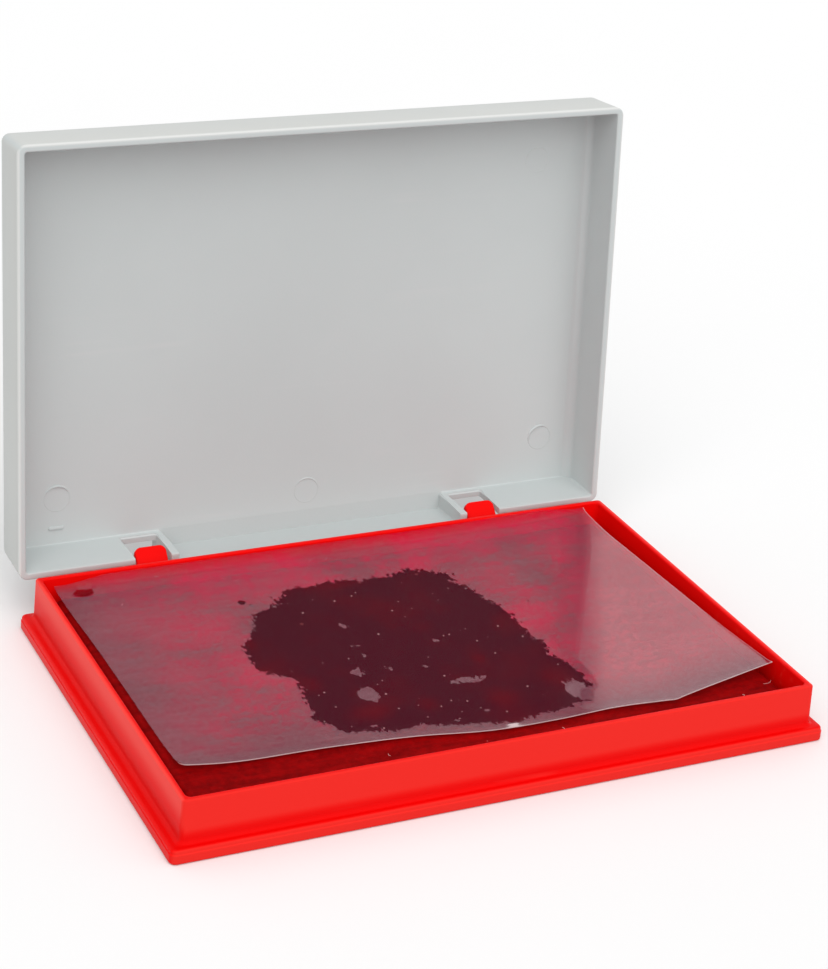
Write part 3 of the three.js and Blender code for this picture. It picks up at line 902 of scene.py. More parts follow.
def welded_copy(node: str, name: str) -> bpy.types.Object:
    """Make a clean copy of a solid's mesh, with its facets joined into smooth rounds.

    Args:
        node: The solid's name.
        name: The copy's name.

    Returns:
        The copy.
    """
    work = bmesh.new()
    work.from_mesh(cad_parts[node].data)
    bmesh.ops.remove_doubles(work, verts=work.verts, dist=WELD_GAP)
    turn = math.radians(FLAT_TURN)
    bmesh.ops.dissolve_limit(work, angle_limit=turn, verts=work.verts, edges=work.edges)
    bmesh.ops.triangulate(work, faces=[f for f in work.faces if len(f.verts) > 4])
    work.verts.index_update()
    points = np.array([v.co for v in work.verts])
    faces = [tuple(v.index for v in f.verts) for f in work.faces]
    work.free()
    return mesh_object(name, points, faces, MOULD_SHARP)


def rounded_ring(half_x: float, half_y: float, radius: float, steps: tuple[int, int, int]) -> np.ndarray:
    """Lay out the points of a rectangle with round corners and even edges.

    Args:
        half_x: Half its length.
        half_y: Half its depth.
        radius: Corner radius.
        steps: Steps on each long edge, on each short edge and on each corner.

    Returns:
        Points in the plane, counter-clockwise.
    """
    along, across, corner = steps
    radius = max(radius, LEAST_ROUND)
    flat_x, flat_y = half_x - radius, half_y - radius
    points: list[Pair] = []
    sides = (
        ((half_x, -flat_y), (half_x, flat_y), across, (flat_x, flat_y), 0.0),
        ((flat_x, half_y), (-flat_x, half_y), along, (-flat_x, flat_y), 90.0),
        ((-half_x, flat_y), (-half_x, -flat_y), across, (-flat_x, -flat_y), 180.0),
        ((-flat_x, -half_y), (flat_x, -half_y), along, (flat_x, -flat_y), 270.0),
    )
    for start, stop, count, centre, angle in sides:
        for i in range(count):
            t = i / count
            points.append((start[0] + t * (stop[0] - start[0]), start[1] + t * (stop[1] - start[1])))
        points += arc_points(centre, radius, angle, angle + 90.0, corner)[:-1]
    return np.array(points)


def arc_points(centre: Pair, radius: float, start: float, stop: float, steps: int) -> list[Pair]:
    """Lay out points on an arc.

    Args:
        centre: The arc's middle.
        radius: Its radius.
        start: Its first angle in degrees.
        stop: Its last angle in degrees.
        steps: Steps from one to the other.

    Returns:
        The points, with both ends.
    """
    turns = [math.radians(start + (stop - start) * i / steps) for i in range(steps + 1)]
    return [(centre[0] + radius * math.cos(t), centre[1] + radius * math.sin(t)) for t in turns]


def ring_faces(rings: int, count: int) -> list[Face]:
    """List the quads between rings that have the same number of points.

    Args:
        rings: Number of rings.
        count: Points in each.

    Returns:
        The quads.
    """
    faces: list[Face] = []
    for k in range(rings - 1):
        for i in range(count):
            j = (i + 1) % count
            faces.append((k * count + i, k * count + j, (k + 1) * count + j, (k + 1) * count + i))
    return faces


def last_ring(rings: int, count: int) -> Face:
    """Return the face that closes the last of the rings."""
    return tuple((rings - 1) * count + i for i in range(count))


def first_ring(count: int) -> Face:
    """Return the face that closes the first of the rings."""
    return tuple(reversed(range(count)))


def moved_on(faces: list[Face], first: int) -> list[Face]:
    """Return faces with their corner numbers counted from another first point."""
    return [tuple(first + n for n in face) for face in faces]


def paint(obj: bpy.types.Object, material: bpy.types.Material) -> None:
    """Give an object its only material."""
    obj.data.materials.clear()
    obj.data.materials.append(material)


def dress(obj: bpy.types.Object, material: bpy.types.Material, body: Body) -> None:
    """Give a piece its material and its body.

    Args:
        obj: The piece.
        material: Its only material.
        body: The body that it rides on.
    """
    paint(obj, material)
    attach(obj, body.value)


def points_of(obj: bpy.types.Object) -> np.ndarray:
    """Return a mesh's points in millimetres, as three rows."""
    return np.array([v.co for v in obj.data.vertices]).T / MM


def store_values(obj: bpy.types.Object, name: Stored, values: np.ndarray) -> None:
    """Write one value for each of a mesh's points on the mesh."""
    layer = obj.data.attributes.new(name.value, "FLOAT", "POINT")
    layer.data.foreach_set("value", values.astype(np.float32))


def clamp(value: np.ndarray) -> np.ndarray:
    """Return values held between 0 and 1."""
    return np.clip(value, 0.0, 1.0)


def from_middle(spot: Spot, x: np.ndarray, y: np.ndarray) -> np.ndarray:
    """Return how far points lie from an oval's middle, where its edge is at 1."""
    return np.hypot((x - spot[0]) / spot[2], (y - spot[1]) / spot[3])


def curve_through(points: tuple[Pair, ...], at: np.ndarray) -> np.ndarray:
    """Read the heights of a smooth curve through points.

    Args:
        points: Places along the curve with their heights, in order.
        at: Places to read.

    Returns:
        The height at each place.
    """
    x, y = np.array(points).T
    slope = np.gradient(y, x)
    i = np.clip(np.searchsorted(x, at) - 1, 0, len(x) - 2)
    span, rise = x[i + 1] - x[i], y[i + 1] - y[i]
    t = (at - x[i]) / span
    start, stop = slope[i] * span, slope[i + 1] * span
    return y[i] + t * (start + t * (3.0 * rise - 2.0 * start - stop + t * (start + stop - 2.0 * rise)))


@dataclass(frozen=True)
class Swell:
    """A gentle seeded waviness."""

    length: float
    seed: int
    waves: int = 6
    longer: Pair = (0.7, 1.5)
    flatter: float = 4.0

    def at(self, x: np.ndarray, y: np.ndarray) -> np.ndarray:
        """Read the waviness.

        Args:
            x: Places from left to right, in the unit of the wavelength.
            y: Places from front to back.

        Returns:
            The height at each place, from about -1 to 1.
        """
        chance = random.Random(self.seed)
        total = np.zeros_like(x)
        for _ in range(self.waves):
            heading = chance.uniform(0.0, math.tau)
            pitch = math.tau / (self.length * chance.uniform(*self.longer))
            phase = chance.uniform(0.0, math.tau)
            total += np.sin(pitch * (x * math.cos(heading) + y * math.sin(heading)) + phase)
        return total / self.flatter


# Pieces


@dataclass(frozen=True)
class InkBlot:
    """Where wet ink holds the film to the pad, in millimetres on the pad."""

    outline: tuple[Pair, ...] = (
        (-30.0, 9.2), (-28.9, 10.7), (-26.9, 12.4), (-25.4, 15.4), (-24.3, 18.6), (-22.3, 19.8),
        (-20.6, 20.7), (-18.6, 21.7), (-17.1, 23.6), (-14.3, 26.4), (-12.3, 26.8), (-9.6, 26.7),
        (-6.5, 27.2), (-2.8, 27.1), (-0.1, 25.9), (2.5, 26.2), (4.9, 25.8), (7.7, 26.6),
        (10.7, 27.5), (13.5, 26.4), (16.1, 24.8), (17.5, 23.1), (17.1, 20.7), (18.6, 17.7),
        (19.9, 15.2), (19.7, 12.4), (21.2, 9.5), (21.4, 6.6), (21.8, 4.0), (21.8, 1.6),
        (21.4, -1.4), (21.6, -4.2), (22.5, -5.6), (22.4, -7.9), (21.5, -9.9), (22.5, -11.8),
        (23.2, -14.3), (23.7, -17.0), (23.9, -19.7), (23.4, -22.8), (21.5, -24.2), (19.7, -27.0),
        (16.3, -27.7), (10.5, -28.3), (7.9, -28.9), (5.6, -29.5), (1.8, -28.6), (-1.1, -27.7),
        (-3.7, -27.5), (-6.6, -26.6), (-10.1, -25.8), (-10.9, -24.9), (-13.7, -25.7), (-17.5, -25.1),
        (-22.8, -23.7), (-25.4, -23.0), (-25.1, -21.3), (-26.3, -19.9), (-27.9, -17.7), (-27.1, -16.2),
        (-27.1, -14.9), (-26.5, -12.3), (-26.1, -8.9), (-25.6, -4.7), (-27.3, -2.8), (-29.2, -1.1),
        (-30.7, 0.9), (-30.5, 4.1), (-30.3, 7.0),
    )
    bubbles: tuple[Spot, ...] = (
        (-15.4, -13.1, 1.8, 2.5), (-14.1, -5.5, 1.0, 1.4), (3.5, -13.8, 3.3, 0.9), (-9.6, 10.7, 0.4, 0.7),
        (4.2, 0.8, 0.5, 0.4), (1.8, -24.2, 0.4, 0.6), (20.7, -23.0, 2.1, 3.7), (-5.7, -17.5, 0.25, 0.35),
        (-10.6, -0.8, 0.25, 0.4), (-10.6, 3.4, 0.45, 0.3), (-1.6, -7.3, 0.25, 0.4), (-8.0, -5.9, 0.25, 0.4),
        (-18.7, -22.8, 0.35, 0.35), (-4.3, -25.6, 0.5, 0.3),
    )
    drops: tuple[Spot, ...] = (
        (-50.8, 35.2, 2.0, 1.2), (-24.2, 24.2, 0.7, 0.9), (-22.8, 23.2, 0.3, 0.5), (27.3, 9.0, 0.3, 0.5),
        (-18.3, 24.4, 0.3, 0.5), (18.3, 23.1, 0.3, 0.5),
    )
    thin_spots: tuple[Spot, ...] = (
        (-28.4, 9.1, 1.4, 2.9), (-23.7, -6.8, 2.4, 3.1), (-3.4, 25.8, 5.3, 1.6), (-18.0, -18.8, 4.1, 2.7),
        (-6.8, -18.9, 2.1, 2.7), (8.6, -7.4, 1.5, 1.6), (19.4, -17.5, 3.3, 5.1), (6.3, -21.3, 2.8, 4.2),
        (-30.3, 0.0, 2.1, 1.4),
    )
    soak: float = 0.45
    bubble_firm: float = 1.7
    drop_firm: float = 4.5
    thin_reach: float = 1.4
    thin_power: float = 1.5
    thin_most: float = 0.6

    def reach(self, x: np.ndarray, y: np.ndarray, on_cloth: bool) -> np.ndarray:
        """Measure how far points lie inside the wet ink.

        Args:
            x: Places along the pad.
            y: Places across the pad.
            on_cloth: Whether this is the ink in the cloth, which has no bubbles and spreads wider.

        Returns:
            The reach of each point in millimetres, below zero outside.
        """
        corners = np.array(self.outline)
        nearest = np.full(x.shape, np.inf)
        inside = np.zeros(x.shape, bool)
        for (ax, ay), (bx, by) in zip(corners, np.roll(corners, -1, axis=0)):
            dx, dy = bx - ax, by - ay
            t = clamp(((x - ax) * dx + (y - ay) * dy) / (dx * dx + dy * dy))
            nearest = np.minimum(nearest, np.hypot(x - ax - t * dx, y - ay - t * dy))
            if dy != 0.0:
                inside ^= ((ay > y) != (by > y)) & (x < ax + (y - ay) * dx / dy)
        reach = np.where(inside, nearest, -nearest)
        for drop in self.drops:
            reach = np.maximum(reach, (1.0 - from_middle(drop, x, y)) * min(drop[2:]) * self.drop_firm)
        if on_cloth:
            return reach + self.soak
        return np.minimum(reach, self.from_bubbles(x, y) * self.bubble_firm)

    def from_bubbles(self, x: np.ndarray, y: np.ndarray) -> np.ndarray:
        """Return how far points lie outside the nearest bubble, in millimetres."""
        gaps = [(from_middle(bubble, x, y) - 1.0) * min(bubble[2:]) for bubble in self.bubbles]
        return np.min(gaps, axis=0)

    def thinness(self, x: np.ndarray, y: np.ndarray) -> np.ndarray:
        """Return how thin the ink is at points, from 0 to 1."""
        fades = [self.thin_reach - from_middle(spot, x, y) for spot in self.thin_spots]
        return clamp(np.max(fades, axis=0)) ** self.thin_power * self.thin_most

    def store(self, obj: bpy.types.Object, on_cloth: bool) -> None:
        """Write the reach and the thinness of the ink at each of a mesh's points on the mesh.

        Args:
            obj: The piece.
            on_cloth: Whether it is the cloth.
        """
        x, y, _ = points_of(obj)
        store_values(obj, Stored.INK_REACH, self.reach(x, y, on_cloth))
        store_values(obj, Stored.INK_THIN, self.thinness(x, y))


@dataclass
class Tray:
    """Red tray with its flange and hinge lugs, and the plate at the bottom of its pad."""

    finish: MouldedPlastic = PaintedLightPlastic(
        "tray_red_plastic",
        colour=(0.89, 0.002, 0.0015),
        cloudy=(0.86, 0.0015, 0.001),
        rubbed=(0.88, 0.08, 0.06),
        roughness=0.36,
        grain_depth=0.02,
        specular=0.08,
    )
    plate_finish: MouldedPlastic = MouldedPlastic(
        "plate_pale_plastic",
        colour=(0.7, 0.67, 0.62),
        cloudy=(0.62, 0.58, 0.54),
        rubbed=(0.6, 0.3, 0.3),
        roughness=0.5,
        grain_depth=0.03,
    )

    def build(self) -> list[bpy.types.Object]:
        """Build the tray's moulding and return it."""
        return [welded_copy("tray", "tray_moulding")]

    def dress(self, parts: list[bpy.types.Object]) -> None:
        """Give the tray and the backing plate their plastics.

        Args:
            parts: The tray's moulding.
        """
        dress(parts[0], self.finish.material(), Body.BASE)
        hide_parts("tray")
        paint(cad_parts["backing_plate"], self.plate_finish.material())


@dataclass
class Lid:
    """Grey hollow lid, standing open, with the rounding and the marks of its mould inside it."""

    lie: LidLie = LidLie()
    panel_depth: float = 10.0
    sink: float = 0.05
    marks: tuple[Spot, ...] = (
        (-50.4, 10.6, 90.0, 0.3), (0.4, 5.8, 80.0, 0.1), (51.9, 10.8, 125.0, 0.3), (47.6, 69.4, 120.0, 0.06),
    )
    mark_radius: float = 2.5
    mark_height: float = 0.03
    mark_width: float = 0.25
    mark_steps: int = 48
    mark_ridge: tuple[Pair, ...] = ((-1.0, 0.0), (-0.3, 1.0), (0.3, 1.0), (1.0, 0.0))
    mark_sharp: float = 50.0
    bar_place: Pair = (-50.6, 4.7)
    bar_half: Pair = (1.4, 0.28)
    bar_height: float = 0.22
    bar_shoulder: float = 0.7
    bar_slope: tuple[float, float, float] = (0.12, 0.06, 0.0)
    bar_steps: tuple[int, int, int] = (6, 2, 6)
    fillet: float = 2.0
    fillet_sink: float = 0.015
    fillet_steps: int = 10
    cavity_half: float = 59.25
    cavity_front: float = 79.95
    cavity_rear: float = 1.4
    finish: MouldedPlastic = RimmedPlastic(
        "lid_grey_plastic",
        colour=(0.56, 0.599, 0.596),
        cloudy=(0.54, 0.578, 0.575),
        rubbed=(0.64, 0.64, 0.64),
        roughness=0.42,
        grain_depth=0.022,
    )

    def on_panel(self, x: float, along: float, proud: float) -> Point:
        """Place a point on the lid's inner panel.

        Args:
            x: Place from left to right.
            along: Distance from the lid's rear face.
            proud: Height over the panel.

        Returns:
            The point at rest, in metres.
        """
        depth = self.panel_depth - proud
        y = self.lie.rear_y + along * self.lie.sine + depth * self.lie.cosine
        z = self.lie.rear_z + along * self.lie.cosine - depth * self.lie.sine
        return x * MM, y * MM, z * MM

    def build(self) -> list[bpy.types.Object]:
        """Build the lid's moulding, the rounding inside it and its mould marks, and return them."""
        return [welded_copy("lid", "lid_moulding"), self.build_fillet(), self.build_marks()]

    def build_fillet(self) -> bpy.types.Object:
        """Build the rounding where the panel meets the side walls and the front wall.

        Returns:
            The rounding, as one closed strip.
        """
        middle = (self.fillet, self.fillet)
        round_off = arc_points(middle, self.fillet + self.fillet_sink, 180.0, 270.0, self.fillet_steps)
        section = [(-self.sink, -self.sink), (-self.sink, self.fillet), *round_off, (self.fillet, -self.sink)]
        corners = ((-1, False), (-1, True), (1, True), (1, False))
        points: list[Point] = []
        for side, at_front in corners:
            for inset, proud in section:
                along = self.cavity_front - inset if at_front else self.cavity_rear
                points.append(self.on_panel(side * (self.cavity_half - inset), along, proud))
        count = len(section)
        faces = [*ring_faces(len(corners), count), first_ring(count), last_ring(len(corners), count)]
        return mesh_object("lid_inner_rounding", np.array(points), faces)

    def ring_points(self, mark: Spot) -> list[Point]:
        """Lay out the ring that one ejector pin left, highest on one side.

        Args:
            mark: Its place on the panel, the direction of its high side in degrees and its extra height.

        Returns:
            The points of its ridge, loop by loop.
        """
        x, along, high_side, lift = mark
        points: list[Point] = []
        for grow, share_up in self.mark_ridge:
            reach = self.mark_radius + grow * self.mark_width
            for i in range(self.mark_steps):
                turn = math.tau * i / self.mark_steps
                facing = max(0.0, math.cos(turn - math.radians(high_side)))
                proud = share_up * (self.mark_height + lift * facing**2 + self.sink) - self.sink
                aside, onward = reach * math.cos(turn), reach * math.sin(turn)
                points.append(self.on_panel(x + aside, along + onward, proud))
        return points

    def bar_points(self) -> list[Point]:
        """Lay out the small bar below one of the rings.

        Returns:
            The points of its three outlines, from the panel up.
        """
        x, along = self.bar_place
        half_x, half_s = self.bar_half
        heights = (-self.sink, self.bar_height * self.bar_shoulder, self.bar_height)
        points: list[Point] = []
        for grow, proud in zip(self.bar_slope, heights):
            round_end = half_s + grow - LEAST_ROUND
            flat = rounded_ring(half_x + grow, half_s + grow, round_end, self.bar_steps)
            points += [self.on_panel(x + px, along + ps, proud) for px, ps in flat]
        return points

    def build_marks(self) -> bpy.types.Object:
        """Build the rings that ejector pins left, and the small bar below one.

        Returns:
            The marks, as one mesh.
        """
        steps, loops = self.mark_steps, len(self.mark_ridge)
        ring = ring_faces(loops, steps)
        last = (loops - 1) * steps
        ring += [(last + i, last + (i + 1) % steps, (i + 1) % steps, i) for i in range(steps)]
        points: list[Point] = []
        faces: list[Face] = []
        for mark in self.marks:
            faces += moved_on(ring, len(points))
            points += self.ring_points(mark)
        bar = self.bar_points()
        loops = len(self.bar_slope)
        count = len(bar) // loops
        bar_faces = [*ring_faces(loops, count), last_ring(loops, count), first_ring(count)]
        faces += moved_on(bar_faces, len(points))
        return mesh_object("lid_mould_marks", np.array(points + bar), faces, self.mark_sharp)

    def dress(self, parts: list[bpy.types.Object]) -> None:
        """Give the lid, its rounding and its marks their plastic.

        Args:
            parts: The lid's pieces, its moulding first.
        """
        material = self.finish.material()
        for part in parts:
            dress(part, material, Body.LID)
        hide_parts("lid")


@dataclass
class InkPad:
    """Felt pad in its cloth, drawn over the felt and hemmed under the plate."""

    half_x: float = 56.4
    half_y: float = 36.4
    corner: float = 2.0
    ring_steps: tuple[int, int, int] = (110, 70, 6)
    sharp: float = 60.0
    floor: float = 1.6
    plate_top: float = 2.8
    top: float = 7.2
    lift: float = 0.02
    cloth: float = 0.3
    edge: float = 1.4
    edge_steps: int = 6
    edge_margin: float = 0.8
    hem: float = 8.4
    fold: float = 0.3
    fold_steps: int = 3
    side_start: float = 1.6
    cloth_rows: int = 40
    cloth_middle: float = 0.5
    cloth_wave: float = 0.05
    cloth_swell: Swell = Swell(14.0, 3)
    cloth_fade: float = 6.0
    ease: float = 0.5
    felt_edge_steps: int = 4
    felt_rows: int = 14
    felt_middle: float = 1.5
    felt_wave: float = 0.03
    felt_swell: Swell = Swell(7.0, 8)
    blot: InkBlot = field(default_factory=InkBlot)

    def build(self) -> list[bpy.types.Object]:
        """Build the cloth cover and the felt inside it, and return them."""
        return [self.build_cloth(), self.build_felt()]

    def rings(self, profile: list[Pair], shrink: float) -> tuple[np.ndarray, int]:
        """Lay out a stack of outlines.

        Args:
            profile: Inset and height of each outline.
            shrink: How much smaller than the cloth the whole stack is.

        Returns:
            The points in millimetres, and the count in one outline.
        """
        stack: list[np.ndarray] = []
        for inset, height in profile:
            cut = inset + shrink
            flat = rounded_ring(self.half_x - cut, self.half_y - cut, self.corner - cut, self.ring_steps)
            stack.append(np.column_stack([flat, np.full(len(flat), height)]))
        return np.vstack(stack), len(stack[0])

    def build_cloth(self) -> bpy.types.Object:
        """Build the cloth: hem, sides, rounded edge and a slightly uneven top.

        Returns:
            The cloth, with its thickness.
        """
        shoulder = self.top - self.edge
        profile = [(self.hem, self.floor + self.lift), (self.hem * 0.5, self.floor)]
        profile += arc_points((self.fold, self.floor + self.fold), -self.fold, 90.0, 0.0, self.fold_steps)
        profile += [(0.0, self.floor + self.side_start), (0.0, shoulder - self.edge_margin)]
        profile += arc_points((self.edge, shoulder), self.edge, 180.0, 90.0, self.edge_steps)
        inner = np.linspace(self.edge + self.edge_margin, self.half_y - self.cloth_middle, self.cloth_rows)
        profile += [(float(inset), self.top) for inset in inner]
        points, count = self.rings(profile, 0.0)
        x, y, z = points.T
        rim = np.minimum(self.half_x - np.abs(x), self.half_y - np.abs(y))
        fade = clamp((rim - self.edge) / self.cloth_fade) * (z > self.top - TOP_MARGIN)
        points[:, 2] += fade * self.cloth_wave * self.cloth_swell.at(x, y)
        faces = [*ring_faces(len(profile), count), last_ring(len(profile), count)]
        obj = mesh_object("pad_cover_cloth_wrap", points * MM, faces, self.sharp)
        self.blot.store(obj, on_cloth=True)
        thick = obj.modifiers.new("cloth_thickness", "SOLIDIFY")
        thick.thickness = self.cloth * MM
        thick.offset = -1.0
        return obj

    def build_felt(self) -> bpy.types.Object:
        """Build the felt block that fills the cloth over the plate.

        Returns:
            The felt, as one closed block.
        """
        top = self.top - self.ease
        edge = self.edge - self.ease
        profile = [(0.0, self.plate_top + self.lift), (0.0, top - edge)]
        profile += arc_points((edge, top - edge), edge, 180.0, 90.0, self.felt_edge_steps)[1:]
        inner = np.linspace(edge + self.felt_middle, self.half_y - self.felt_middle, self.felt_rows)
        profile += [(float(inset), top) for inset in inner]
        points, count = self.rings(profile, self.ease)
        x, y, z = points.T
        points[:, 2] += self.felt_wave * self.felt_swell.at(x, y) * (z > top - TOP_MARGIN)
        faces = [*ring_faces(len(profile), count), last_ring(len(profile), count), first_ring(count)]
        return mesh_object("felt_core_block", points * MM, faces, self.sharp)

    def dress(self, parts: list[bpy.types.Object]) -> None:
        """Give cloth and felt their materials and bodies, and hide the solids they replace.

        Args:
            parts: The cloth and the felt.
        """
        cloth, felt = parts
        dress(cloth, InkedCloth().material(), Body.BASE)
        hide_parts("pad_cover_cloth")
        dress(felt, InkFelt().material(), Body.BASE)
        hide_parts("felt_core")


@dataclass
class ProtectiveFilm:
    """Loose clear film on the pad, curled up the back wall, with its front right corner lifted."""

    left: float = -54.6
    back_left: float = -55.7
    front_right: float = 57.4
    back_right: float = 54.6
    back: float = 37.65
    front_edge: tuple[Pair, ...] = (
        (-54.6, -26.0), (-48.0, -26.7), (-28.0, -27.5), (-14.0, -28.7), (0.5, -31.1), (12.4, -31.3),
        (23.5, -30.9), (33.6, -32.0), (35.1, -32.2), (36.3, -31.9), (48.5, -29.5), (57.4, -28.0),
    )
    corner_round: float = 1.1
    left_power: int = 4
    pad_top: float = 7.2
    rest_gap: float = 0.3
    thickness: float = 0.12
    sharp: float = 50.0
    curl_length: float = 2.0
    curl_rise: float = 1.5
    curl_turn: float = 76.0
    curl_fade: float = 10.0
    curl_least: float = 0.25
    ramp_length: float = 13.0
    ramp_rise: float = 0.9
    flap_front: float = 18.1
    flap_side: float = 18.2
    flap_lift: float = 0.65
    flap_power: float = 1.3
    slope_length: float = 37.4
    slope_rise: float = 1.05
    slope_power: float = 1.15
    front_curl: float = 0.25
    front_curl_length: float = 2.5
    corner_lift: float = 0.7
    corner_reach: float = 14.0
    sag: float = 0.16
    sag_width: float = 3.0
    wave: float = 0.03
    swell: Swell = Swell(38.0, 11)
    cells_x: int = 190
    cells_y: int = 108
    curl_cells: int = 12
    side_columns: tuple[float, ...] = (0.0, 0.0012, 0.003, 0.006, 0.01)
    even_columns: Pair = (0.015, 0.985)
    dull_edge: float = 22.0
    dull_edge_start: float = 0.12
    dull_front: float = 10.0
    dull_front_start: float = -0.1
    bubble_haze: float = 0.8
    edge_highlight_width: float = 0.4
    side_edge_highlight: float = 0.9
    glint: Spot = (4.0, -30.2, 1.7, 0.7)
    glint_reach: float = 1.6
    lift_line: Pair = (38.4, 0.54)
    lift_reach: float = 5.0
    loose_most: float = 0.9
    # Place, width and strength of a painted dark band along the lift line.
    dark_band_place: float = 4.0
    dark_band_width: float = 3.5
    dark_band_share: float = 0.35
    low_sheen: float = 0.45
    low_reach: float = 14.0
    curl_sheen: float = 0.6
    curl_clear: float = 0.65
    blot: InkBlot = field(default_factory=InkBlot)

    def columns(self) -> np.ndarray:
        """Space the film's columns, closer near its sides.

        Returns:
            The shares of its width at which they lie.
        """
        close = np.array(self.side_columns)
        even = np.linspace(*self.even_columns, self.cells_x + 1 - 2 * len(close))
        return np.concatenate([close, even, 1.0 - close[::-1]])

    def front_at(self, x: np.ndarray) -> np.ndarray:
        """Find where the front edge lies, with its left corner rounded.

        Args:
            x: Places along the film.

        Returns:
            The edge at each place.
        """
        short = np.clip(self.corner_round + self.left - x, 0.0, self.corner_round)
        straight = curve_through(self.front_edge, x)
        return straight + self.corner_round - np.sqrt(self.corner_round**2 - short**2)

    def surface(self) -> np.ndarray:
        """Lay out the film's underside.

        Returns:
            Its points in millimetres, row by row from the front.
        """
        rows = np.linspace(0.0, 1.0, self.cells_y - self.curl_cells + 1)
        turns = np.radians(self.curl_turn) * np.linspace(0.0, 1.0, self.curl_cells + 1)[1:]
        u, v = np.meshgrid(self.columns(), np.concatenate([rows, np.full(self.curl_cells, 1.0)]))
        turn = np.concatenate([np.zeros(len(rows)), turns])[:, None]
        bend = self.back - self.curl_length
        front = self.front_at(self.left + u * (self.front_right - self.left))
        y = front + v * (bend - front) + self.curl_length * np.sin(turn) / math.sin(turns[-1])
        lean = clamp((y - front) / (self.back - front))
        left = self.left + lean**self.left_power * (self.back_left - self.left)
        x = left + u * (self.front_right + lean * (self.back_right - self.front_right) - left)
        to_side = np.minimum(x - self.back_left, self.back_right - x)
        fade = np.clip(to_side / self.curl_fade, self.curl_least, 1.0)
        rise = self.curl_rise * fade * (1.0 - np.cos(turn)) / (1.0 - math.cos(turns[-1]))
        z = self.pad_top + self.rest_gap + rise + self.unevenness(x, y, front)
        return np.column_stack([x.ravel(), y.ravel(), z.ravel()])

    def unevenness(self, x: np.ndarray, y: np.ndarray, front: np.ndarray) -> np.ndarray:
        """Measure how far the film stands off its even lie.

        Args:
            x: Places along the film.
            y: Places across the film.
            front: Where the front edge lies at each place.

        Returns:
            The height in millimetres.
        """
        to_right = self.front_right - x
        flap = clamp(1.0 - (to_right / self.flap_front + (y - self.front_edge[-1][1]) / self.flap_side))
        slope = clamp(1.0 - to_right / self.slope_length)
        lip = clamp(1.0 - (y - front) / self.front_curl_length)
        corner = clamp(1.0 - np.hypot(x - self.left, y - self.front_edge[0][1]) / self.corner_reach)
        held = clamp(self.blot.reach(x, y, on_cloth=True) / self.sag_width + 0.5)
        ramp = clamp(1.0 - (self.back - y) / self.ramp_length)
        height = self.flap_lift * flap**self.flap_power + self.slope_rise * slope**self.slope_power
        height += self.ramp_rise * ramp**2
        height += self.front_curl * lip**2 + self.corner_lift * corner**2
        return height + self.wave * self.swell.at(x, y) * (1.0 - held) - self.sag * held

    def store_touch(self, obj: bpy.types.Object) -> None:
        """Write on the mesh how the film clings to the cloth, how hazy it is, where painted shade falls on
        it, and where its edges and glint carry a painted highlight.

        Args:
            obj: The film.
        """
        x, y, _ = points_of(obj)
        front = self.front_at(x)
        inside = y - front
        near_left = (x - self.back_left) / self.dull_edge + self.dull_edge_start
        # Along the front edge, the dull tone is partly painted shade under the lifted edge.
        near_front = inside / self.dull_front + self.dull_front_start
        bubbles = self.blot.from_bubbles(x, y) / self.bubble_haze
        touch = np.min([near_left, near_front, bubbles, np.ones_like(x)], axis=0)
        curl = clamp((y - self.back + self.curl_length) / self.curl_length)
        low = clamp(1.0 - (self.back - y) / self.low_reach)
        start, lean = self.lift_line
        past_line = x - start - lean * y
        loose = np.clip(self.loose_most + past_line / self.lift_reach, 0.0, self.loose_most)
        # Painted shade: a band along the lift line is darker, with less clinging tone and less sheen,
        # standing in for a darker reflection there.
        dark_band = np.exp(-(((past_line + self.dark_band_place) / self.dark_band_width) ** 2))
        out_of_dark_band = 1.0 - self.dark_band_share * dark_band
        right = self.front_right + (self.back_right - self.front_right) * inside / (self.back - front)
        # Painted highlight: a thin line along the front and right edges, and a small glint spot.
        side_highlight_line = self.side_edge_highlight - (right - x) / self.edge_highlight_width
        glint = self.glint_reach - from_middle(self.glint, x, y)
        rim = np.max([1.0 - inside / self.edge_highlight_width, side_highlight_line, glint], axis=0)
        sheen = (1.0 - self.curl_sheen * curl) * (1.0 - self.low_sheen * low) * out_of_dark_band
        store_values(obj, Stored.FILM_LOOSE, loose)
        store_values(obj, Stored.FILM_SHEEN, sheen)
        store_values(obj, Stored.FILM_TOUCH, clamp(touch * out_of_dark_band))
        store_values(obj, Stored.FILM_COVER, 1.0 - self.curl_clear * curl)
        store_values(obj, Stored.FILM_EDGE_HIGHLIGHT, clamp(rim))

    def build(self) -> list[bpy.types.Object]:
        """Build the film as a thin closed sheet.

        Returns:
            The film.
        """
        under = self.surface()
        columns = self.cells_x + 1
        upper = len(under)
        points = np.vstack([under, under + np.array([0.0, 0.0, self.thickness])])
        faces: list[Face] = []
        for j in range(self.cells_y):
            for i in range(self.cells_x):
                a = j * columns + i
                quad = (a, a + 1, a + columns + 1, a + columns)
                faces += [tuple(reversed(quad)), *moved_on([quad], upper)]
        border = list(range(self.cells_x))
        border += [j * columns + self.cells_x for j in range(self.cells_y)]
        border += [self.cells_y * columns + i for i in range(self.cells_x, 0, -1)]
        border += [j * columns for j in range(self.cells_y, 0, -1)]
        for start, stop in zip(border, border[1:] + border[:1]):
            faces.append((start, stop, upper + stop, upper + start))
        obj = mesh_object("protective_film_sheet", points * MM, faces, self.sharp)
        self.blot.store(obj, on_cloth=False)
        self.store_touch(obj)
        return [obj]

    def dress(self, parts: list[bpy.types.Object]) -> None:
        """Give the film its material and body, and hide the solid it replaces.

        Args:
            parts: The film.
        """
        film = parts[0]
        dress(film, ClearFilm().material(), Body.FILM)
        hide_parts("protective_film")


